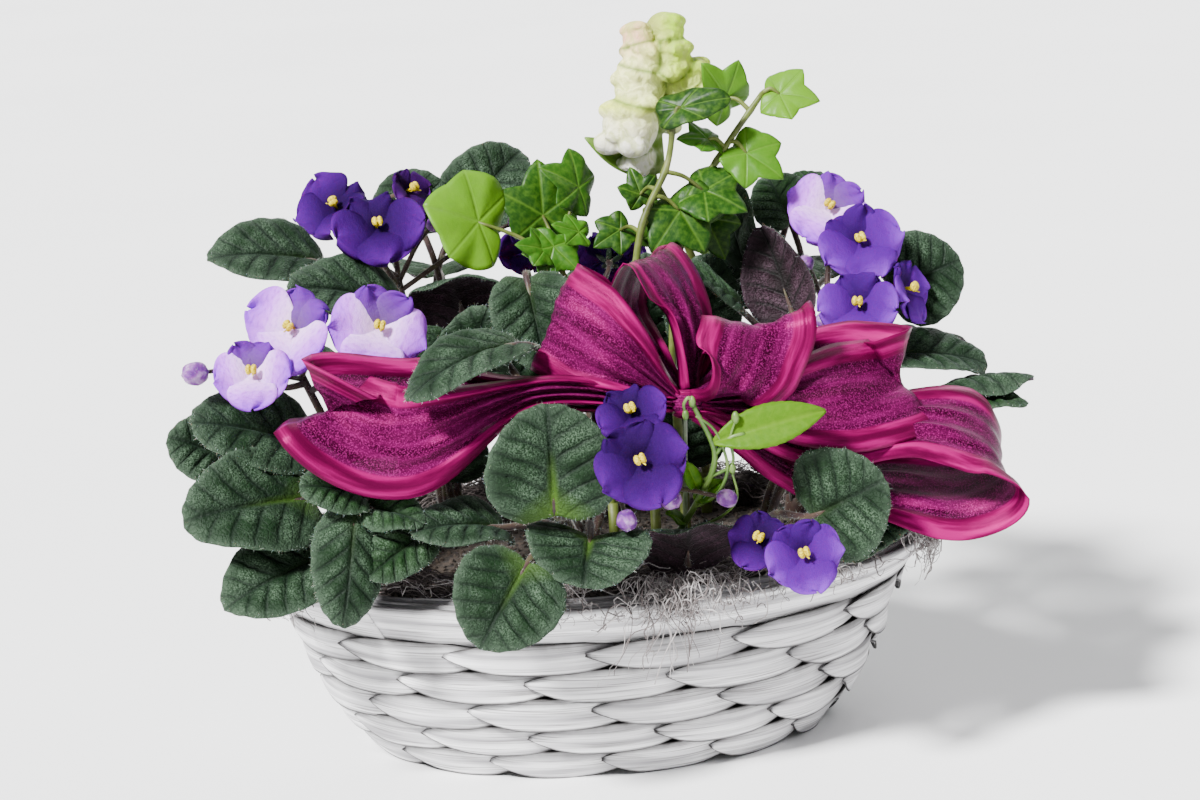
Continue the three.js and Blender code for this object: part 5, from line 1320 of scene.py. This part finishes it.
SNAP_CORE = [(40, 48, 246), (40, 44, 284), (45, 44, 310)]
SNAP_FLORETS = (  # the middle's place, then the size
    (30, 41, 269, 17), (34, 43, 254, 10), (35, 40, 286, 14.5), (57, 46, 286, 14.5), (38, 40, 299, 12),
    (49, 41, 298, 12.5), (36, 42, 308, 10), (48, 43, 311, 10.5), (44, 53, 272, 12), (44, 51, 293, 11),
)
POUCH = (  # a floret's lobes: outward, aside and up, then their sizes, as shares of its size
    (0, 0, 0, 0.82, 0.80, 0.80), (0.34, 0.02, 0.46, 0.46, 0.72, 0.34), (0.46, 0.36, -0.46, 0.38, 0.46, 0.32),
    (0.46, -0.40, -0.42, 0.38, 0.46, 0.32), (0.62, 0, -0.16, 0.26, 0.42, 0.24),
)

petal_silk, tree, shader = finish(
    "snapdragon petal", Roughness=0.6, Specular_IOR_Level=0.15, Subsurface_Weight=0.2,
    Subsurface_Scale=0.003, Subsurface_Radius=(1.0, 0.9, 0.4),
)
place = add(tree, "ShaderNodeSeparateXYZ", {0: place_of(tree)})
height = maths(tree, "MULTIPLY_ADD", noise(tree, 60.0, 3.0), 0.02, place.outputs[2])
height = add(tree, "ShaderNodeMapRange", {0: height, 1: 0.262, 2: 0.328}).outputs[0]
sideways = add(tree, "ShaderNodeMapRange", {0: place.outputs[0], 1: 0.034, 2: 0.050}).outputs[0]
green = ramp(tree, height, (0.1, (0.66, 0.70, 0.40)), (0.42, (0.64, 0.74, 0.24)), (0.60, (0.46, 0.62, 0.05)),
             (0.9, (0.34, 0.54, 0.015)))
blush = ramp(
    tree, height, (0.12, (0.66, 0.64, 0.58)), (0.30, (0.80, 0.78, 0.46)), (0.42, (0.60, 0.68, 0.10)),
    (0.52, (0.80, 0.82, 0.36)), (0.72, (0.80, 0.76, 0.34)), (0.88, (0.74, 0.42, 0.28)),
    (1.0, (0.6, 0.5, 0.2)),
)
creases = noise(tree, 190.0, 3.0, Distortion=1.0)
shadow = ramp(tree, creases, (0.42, 0.55), (0.56, 0.0))
colour = blend(tree, shadow, blend(tree, sideways, blush, green), (0.36, 0.42, 0.10))
# The dark green near the stem is the throat's own colour; where florets meet, the same green is painted shade
# in the crease.
colour = blend(tree, value_of(tree, "throat"), colour, (0.085, 0.16, 0.010))
give(shader.inputs, Base_Color=colour)
bump(tree, shader, maths(tree, "MULTIPLY_ADD", creases, 2.0, noise(tree, 320.0, 4.0)), 0.5, 0.0014)

spike = Shape()
core = path_through(SNAP_CORE, 12)
spike.take(*tube(core, np.linspace(6, 3.6, len(core)), 12))
for number, (x, y, z, size) in enumerate(SNAP_FLORETS):
    out, centre = 1 if x >= SNAP_CORE[1][0] else -1, np.array([x, y, z], float)
    axes = axes_of((0.62 * out, -0.75, 0.1 * math.sin(2.3 * number)), (0.35 * math.sin(1.9 * number), 0, 1))
    for j, (ahead, aside, above, *sizes) in enumerate(POUCH):
        at = centre + size * np.array([ahead, aside, above]) @ axes

        def crumpled(up, turn):
            lip = 0.13 * np.sin(5 * turn + j + 2 * number) * np.cos(up) ** 2 * (j > 0)
            return 1 + 0.06 * np.sin(2 * turn + j + number) * np.cos(up) + lip

        spike.take(*ball(at, size * np.array(sizes), axes, 12, 18, crumpled))
rough = spike.piece("snapdragon_rough", petal_silk)
remesh = rough.modifiers.new("joined", "REMESH")
remesh.mode = "VOXEL"
remesh.voxel_size = 0.7 * MM
remesh.use_smooth_shade = True
smooth = rough.modifiers.new("softened", "SMOOTH")
smooth.iterations = 2
evaluated = rough.evaluated_get(bpy.context.evaluated_depsgraph_get())
blooms = object_of("snapdragon_spike_florets", bpy.data.meshes.new_from_object(evaluated))
bpy.data.objects.remove(rough)
where = np.empty((len(blooms.data.vertices), 3))
blooms.data.vertices.foreach_get("co", where.ravel())
where /= MM
from_core = np.min(np.linalg.norm(where[:, None] - core[None], axis=2), axis=1)
throat = (1 - past(from_core, 5.5, 4.5)) ** 1.2
florets = np.array(SNAP_FLORETS, float)
near = np.sort(np.linalg.norm(where[:, None] - florets[None, :, :3], axis=2) / florets[:, 3], axis=1)
# Where two florets meet, the throat value also holds painted shade for the crease between them.
throat = np.maximum(throat, 0.85 * np.clip(1 - (near[:, 1] - near[:, 0]) / 0.16, 0, 1) ** 1.3)
blooms.data.attributes.new("throat", "FLOAT", "POINT").data.foreach_set("value", throat)
settle(blooms, "snapdragon_petal", "snapdragon_spike")

snap_leaf = ivy_finish(
    "snapdragon leaf", ((0.0, (0.015, 0.06, 0.004)), (0.5, (0.06, 0.15, 0.010)), (1.0, (0.12, 0.23, 0.02))),
    (0.15, 0.22, 0.06), 0.4, Roughness=0.45, Specular_IOR_Level=0.3,
)
SMOOTH_BLADE = 0.8  # millimetres thick


def take_smooth_leaf(shape, u, v, half, lift, length, start, axes, young):
    """A long leaf, with half its width and its lift along it and across it."""
    grid = np.stack([u * length, v * half, lift], -1) @ axes + np.array(start, float)
    points, faces = thin(grid[:, ::-1], SMOOTH_BLADE)
    shape.take(points, faces, 0, young=young, leaf_u=u[:, ::-1], leaf_v=(v * half / length)[:, ::-1])


stem = Shape("leaf_u", "leaf_v", "young")
stem.take(*tube([(58, 46, z) for z in (HOLE_FLOOR + 0.5, 85, 102)], 2.6, 10), 1)
line = path_through([(58, 46, 97), (60, 46, 190), (47, 48, 228), (41, 52, 241)], 30)
line = np.concatenate([line, core[:3]])
stem.take(*tube(line, np.linspace(2.0, 1.7, len(line)), 10), 1)
for start, along, face, length, width, young in (
    ((44, 50, 240), (-40, -8, 26), (-0.2, -0.7, 0.7), 44, 12, 0.7),
    ((56, 48, 200), (24, -10, 22), (0.2, -0.8, 0.5), 30, 8, 0.2),
    ((59, 46, 176), (-26, 8, 20), (-0.2, -0.6, 0.8), 30, 8, 0.2),
):
    u, v = net(np.linspace(0, 1, 18), np.linspace(-1, 1, 7))
    half = width / 2 * np.sin(math.pi * np.clip(0.02 + 0.965 * u, 0, 1) ** 1.25)
    half = np.where(u < 0.35, np.maximum(half * (u / 0.35) ** 1.5, 0.7), half)
    lift = 0.16 * half * v**2 + 3.0 * u**2
    take_smooth_leaf(stem, u, v, half, lift, length, start, axes_of(along, face), young)
settle(stem.piece("snapdragon_green", snap_leaf, ivy_bark), "snapdragon_stem", "snapdragon_stem")

# ---- Shoot at the front ------------------------------------------------------------------
# A young climbing shoot before the bow, with one bright lance-shaped leaf with a saw edge, thin
# curled stalks that end in small buds, and a few small leaves at its foot.

shoot_leaf = ivy_finish(
    "bright leaf",
    ((0.0, (0.010, 0.040, 0.002)), (0.5, (0.030, 0.095, 0.003)), (1.0, (0.055, 0.135, 0.003))),
    (0.10, 0.19, 0.010), 0.5, Roughness=0.45, Specular_IOR_Level=0.10,
)
shoot_stalk = mottled(
    "pale green stalk", 130.0, 3.0, (0.35, (0.045, 0.11, 0.012)), (0.6, (0.10, 0.18, 0.03)),
    (0.8, (0.18, 0.24, 0.07)), Roughness=0.42,
)

shoot = Shape("leaf_u", "leaf_v", "young")


def saw_leaf(start, along, face, length, width, young, droop=0.003, teeth=13):
    """A lance-shaped leaf with a fine saw edge."""
    u, v = net(np.linspace(0, 1, 40), np.linspace(-1, 1, 9))
    half = width / 2 * np.sin(math.pi * np.clip(0.015 + 0.985 * u, 0, 1)) ** 0.8
    half = half * (1 + 0.045 * ((u * teeth) % 1 - 0.5) * (np.abs(v) > 0.9)) + 0.35
    side_veins = (((u - 0.35 * np.abs(v)) * 6) % 1 - 0.5) / 0.13
    sunk = 0.55 * np.exp(-((v * half / 0.9) ** 2)) + 0.22 * np.exp(-(side_veins**2))
    lift = 0.15 * np.abs(v * half) - droop * (u * length) ** 2 - sunk + 0.5 * np.sin(9 * u) * v**2
    take_smooth_leaf(shoot, u, v, half, lift, length, start, axes_of(along, face), young)


saw_leaf((43, -106, 157), (46, -5, 13), (-0.1, -0.85, 0.5), 48, 18, 0.95)
saw_leaf((38, -90, 131), (-6, -6, 17), (0.2, -0.9, 0.3), 17, 7, 0.6)
saw_leaf((36, -87, 127), (11, -7, 10), (0.0, -0.8, 0.6), 16, 9, 0.35)
saw_leaf((33, -78, 115), (-10, -12, 10), (0.0, -0.7, 0.7), 15, 7, 0.45)
shoot.take(*tube([(22, -60, z) for z in (HOLE_FLOOR + 0.5, 82, 96)], 2.2, 10), 1)
main = path_through([(22, -60, 92), (38, -88, 128), (44, -101, 150), (35, -108, 174)], 30)
shoot.take(*tube(main, np.linspace(1.6, 1.0, len(main)), 9), 1)
branch = path_through([(44, -101, 150), (50, -106.5, 158.5), (56, -107, 160)], 10)
shoot.take(*tube(branch, 0.9), 1)
for line, radius in (
    (((40, -94, 138), (51, -102, 146), (50, -106, 158), (52, -107, 165)), 0.75),
    (((36, -85, 123), (45, -96, 132), (49, -101, 143), (47, -105, 154), (43, -106, 163),
      (36, -107, 169)), 0.8),
    (((31, -76, 110), (47, -90, 120), (53, -98, 130), (51, -101, 142)), 0.7),
    (((35, -108, 174), (33, -109, 177.5), (31, -109, 175), (31.5, -108, 171)), 0.8),
):
    line = path_through(line, 24)
    shoot.take(*tube(line, np.linspace(radius, 0.7 * radius, len(line)), 7), 1)
for *place, size in (
    (52.4, -107, 167, 1.7), (51, -101.5, 144, 1.5), (31.6, -108, 170, 1.4), (34.5, -108.3, 175.5, 1.5),
):
    shoot.take(*ball(np.array(place), (size, size, 1.7 * size)), 1)
settle(shoot.piece("shoot_at_front", shoot_leaf, shoot_stalk), "shoot", "green_shoot")

# ---- Bow ---------------------------------------------------------------------------------
# One length of sheer ribbon, 50 mm wide with a satin band woven in along each edge. It is folded
# to and fro into six loops, gathered at the middle and held there by the wire.

KNOT = np.array([34.0, -90.0, 170.0])
KNOT_RADIUS, KNOT_WIDTH, PLY_GAP = 8, 7, 2.4
RIBBON_WIDTH, RIBBON_LENGTH, RIBBON_THICKNESS, HEM = 50, 1230, 0.35, 1.2
# Each loop's middle line, its width's direction at each of those points and, where it isn't
# simply full at the fold, its width at the knot, at each point and at the knot again.
LOOPS = (
    (((-26, -91, 180), (-88, -91, 163), (-115, -84, 177), (-76, -74, 174), (-34, -78, 176)),
     ((0, 0.1, 1), (0, 0.1, 1), (0.42, 0.6, 0.65), (0.1, 0.25, 0.96), (0.05, 0.2, 1)),
     (7, 13, 48.8, 48.8, 40, 16, 7)),
    (((4, -94, 194), (-18, -74, 208), (2, -64, 194)),
     ((0.43, -0.1, 0.9), (0.49, 0.1, 0.87), (0.43, 0.2, 0.87))),
    (((14, -54, 204), (24, -60, 228), (38, -68, 206)),
     ((0.5, 0.85, 0.1), (0.5, 0.85, -0.1), (0.5, 0.85, 0))),
    (((54, -99, 180), (67, -84, 200), (60, -68, 182)),
     ((0.92, 0.2, 0.1), (0.85, 0.45, 0.2), (0.85, 0.4, 0.1))),
    (((86, -90, 167), (130, -70, 167), (92, -61, 172)),
     ((-0.05, 0.35, 0.93), (-0.4, 0.5, 0.77), (-0.1, 0.4, 0.9))),
    (((88, -78, 145), (136, -80, 153), (164, -80, 143), (171, -79, 127), (154, -75, 118), (124, -69, 122),
      (88, -68, 127)),
     ((0.1, -0.8, -0.5), (0.1, -0.82, -0.6), (0.1, -0.8, -0.62), (0.1, -0.8, -0.58), (0.08, -0.8, -0.58),
      (0.05, -0.82, -0.55), (0, -0.8, -0.5))),
)
ACROSS_STEPS = 25

organza, tree, shader = finish("organza", Roughness=0.36, Specular_IOR_Level=0.3,
                               Specular_Tint=(1.0, 0.04, 0.4, 1))
run, width = value_of(tree, "run"), value_of(tree, "width")
band = ramp(tree, maths(tree, "ABSOLUTE", width), (0.58, 0.0), (0.62, 1.0))
cloth = add(tree, "ShaderNodeCombineXYZ", {0: run, 1: width}).outputs[0]
grains = noise(tree, 55.0, 2.0, cloth)
creases = drawn_out(tree, cloth, (0.3, 6, 1), 4.0)
# The sheer is painted darker and lighter along its creases: painted shade and sheen.
sheer = ramp(tree, creases, (0.35, (0.014, 0.0002, 0.006)), (0.5, (0.036, 0.0006, 0.017)),
             (0.68, (0.100, 0.003, 0.050)))
# Painted glints: fine sparkle where the sheer catches the light.
painted_glints = maths(tree, "MULTIPLY", ramp(tree, noise(tree, 1500.0), (0.48, 0.0), (0.66, 0.7)),
                ramp(tree, grains, (0.38, 0.3), (0.62, 1.0)))
sheer = blend(tree, painted_glints, sheer, (0.30, 0.016, 0.16))
# The satin bands go from deep to bright magenta along the creases: painted shade and sheen.
satin = ramp(tree, creases, (0.38, (0.035, 0.0, 0.010)), (0.5, (0.100, 0.0001, 0.032)),
             (0.62, (0.26, 0.0010, 0.095)))
threads = maths(tree, "MULTIPLY", drawn_out(tree, cloth, (3, 420, 1), 2.0), 0.3)
satin = blend(tree, threads, satin, (0.16, 0.002, 0.06))
clear = ramp(tree, grains, (0.35, 0.90), (0.65, 0.98))
give(shader.inputs, Base_Color=blend(tree, band, sheer, satin), Alpha=blend(tree, band, clear, (1, 1, 1)))
bump(tree, shader, maths(tree, "MULTIPLY_ADD", grains, 0.2, creases), 0.5, 0.001)


def ribbon_loop(line, across, seed, widths=None):
    """One loop of the ribbon, out from the knot and back, pleated at the knot and full at its fold."""
    line, across = np.array(line, float), np.array(across, float)
    fold = line[len(line) // 2]
    away = unit(fold - KNOT)
    apart = line[0] - line[-1]
    apart -= np.dot(apart, away) * away
    apart *= PLY_GAP / np.linalg.norm(apart)
    start = KNOT + away * (KNOT_RADIUS - 3)
    stations = np.concatenate([[start + apart], line, [start - apart]])
    sides = units(np.concatenate([across[:1], across, across[-1:]]))
    steps = 16 * (len(stations) - 1) + 1
    middle = path_through(stations, steps)
    share = np.linspace(0, 1, steps)
    places = share * (len(stations) - 1)
    side = np.stack([np.interp(places, np.arange(len(stations)), sides[:, k]) for k in range(3)], -1)
    tangent = units(np.gradient(middle, axis=0))
    side = units(side - np.sum(side * tangent, axis=1, keepdims=True) * tangent)
    normal = np.cross(tangent, side)
    sign = np.sign(np.sum(normal * apart, axis=1, keepdims=True))
    off = np.where(sign == 0, 1, sign) * normal
    spread = np.minimum(1, 1.2 * np.sin(math.pi * share) ** 1.3)
    if widths:
        part = np.minimum(places.astype(int), len(widths) - 2)
        ease = (places - part) ** 2 * (3 - 2 * (places - part))
        broad = np.array(widths)[part] * (1 - ease) + np.array(widths)[part + 1] * ease
        spread = (broad - KNOT_WIDTH) / (RIBBON_WIDTH - HEM - KNOT_WIDTH)
    wide = KNOT_WIDTH + (RIBBON_WIDTH - HEM - KNOT_WIDTH) * spread
    v = np.linspace(-1, 1, ACROSS_STEPS)
    run = np.concatenate([[0], np.cumsum(np.linalg.norm(np.diff(middle, axis=0), axis=1))])
    deep = np.sqrt(np.maximum(RIBBON_WIDTH**2 - wide**2, 0)) / 16
    pleat = deep[:, None] * (np.abs(((v * 2 + 0.5) % 1) * 2 - 1) * 2 - 1)[None]
    v, length, full = v[None], run[:, None], spread[:, None]
    soft = 2.2 * np.sin(2.2 * v + 1.4 * seed + length / 26) * full
    soft += 1.1 * np.sin(4.6 * v - length / 15 + seed) * full
    soft += 0.7 * np.sin(length / 5.5 + 3 * v + 2 * seed) * (1 - 0.5 * full)
    closed = np.clip(np.sin(math.pi * share) * 3, 0, 1)[:, None]
    grid = middle[:, None] + side[:, None] * (v * wide[:, None] / 2)[..., None]
    grid = grid + off[:, None] * (pleat * 0.9)[..., None]
    grid = grid + normal[:, None] * (soft * closed * 0.6)[..., None]
    values = dict(run=length * 0.1 + 0 * v, width=v + 0 * length)
    return *thin(grid, RIBBON_THICKNESS), values


bow = Shape("run", "width")
for number, (line, across, *widths) in enumerate(LOOPS):
    points, faces, values = ribbon_loop(line, across, number, *widths)
    bow.take(points, faces, 0, **values)
turn, up = net(np.linspace(0, 2 * math.pi, 49), np.linspace(-1, 1, 13))
folds = 6.3 + 0.9 * np.sin(4.2 * up * math.pi + 0.8 * np.sin(turn)) - 1.8 * up**2
folds = folds + 0.5 * np.sin(3 * turn + up)
tie = axes_of((0.1, 0.35, 1), (0, -1, 0))
ring = np.stack([up * 5.5, folds * np.cos(turn), folds * np.sin(turn)], -1) @ tie + KNOT
bow.take(*thin(ring, 0.4), 0, run=turn * 0.65, width=up)
ribbon = bow.piece("organza_bow", organza)
settle(ribbon, "ribbon", "ribbon_bow")

# ---- Wire --------------------------------------------------------------------------------
# A thin florist's wire in green enamel. It stands in the soil and its top is twisted into the knot.

enamel = mottled("green enamel", 300.0, 3.0, (0.35, (0.05, 0.07, 0.035)), (0.68, (0.10, 0.13, 0.07)),
                 (0.75, (0.20, 0.20, 0.18)), Roughness=0.35)
coat("bow_wire", enamel)

# ---- Studio ------------------------------------------------------------------------------
# The basket stands on a plain pale floor, lit softly from the upper left, with a weak fill light.

paper = mottled("pale paper", 3.0, 2.0, (0.3, (0.90, 0.90, 0.90)), (0.7, (0.93, 0.93, 0.93)), Roughness=0.9)
floor_mesh = bpy.data.meshes.new("floor")
corners = [(-6, -4, -0.0005), (6, -4, -0.0005), (6, 8, -0.0005), (-6, 8, -0.0005)]
floor_mesh.from_pydata(corners, [], [(0, 1, 2, 3)])
floor_mesh.materials.append(paper)
floor = object_of("floor", floor_mesh)
floor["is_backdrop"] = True

studio = bpy.data.worlds.new("studio")
studio.use_nodes = True
bpy.context.scene.world = studio
tree = studio.node_tree
around = tree.nodes["Background"]
around.inputs["Color"].default_value = (0.95, 0.97, 1, 1)
around.inputs["Strength"].default_value = 0.5
backdrop = add(tree, "ShaderNodeBackground", {"Color": (1, 1, 1, 1), "Strength": 5.0})
seen = add(tree, "ShaderNodeLightPath")
feeds = {0: seen.outputs["Is Camera Ray"], 1: around.outputs[0], 2: backdrop.outputs[0]}
give(tree.nodes["World Output"].inputs, Surface=add(tree, "ShaderNodeMixShader", feeds).outputs[0])

for name, place, spread, strength in (
    ("key", (-0.88, -0.75, 1.17), 10, 13.0),
    ("fill", (0.6, -1.6, 0.9), 60, 0.35),
    ("back", (0.5, 1.4, 1.2), 50, 1.6),
):
    lamp = bpy.data.lights.new(name, "SUN")
    lamp.angle = math.radians(spread)
    lamp.energy = strength
    toward = -Vector(place)
    turned = toward.to_track_quat("-Z", "Y").to_matrix().to_4x4()
    object_of(name, lamp).matrix_world = Matrix.Translation(place) @ turned

low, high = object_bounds()
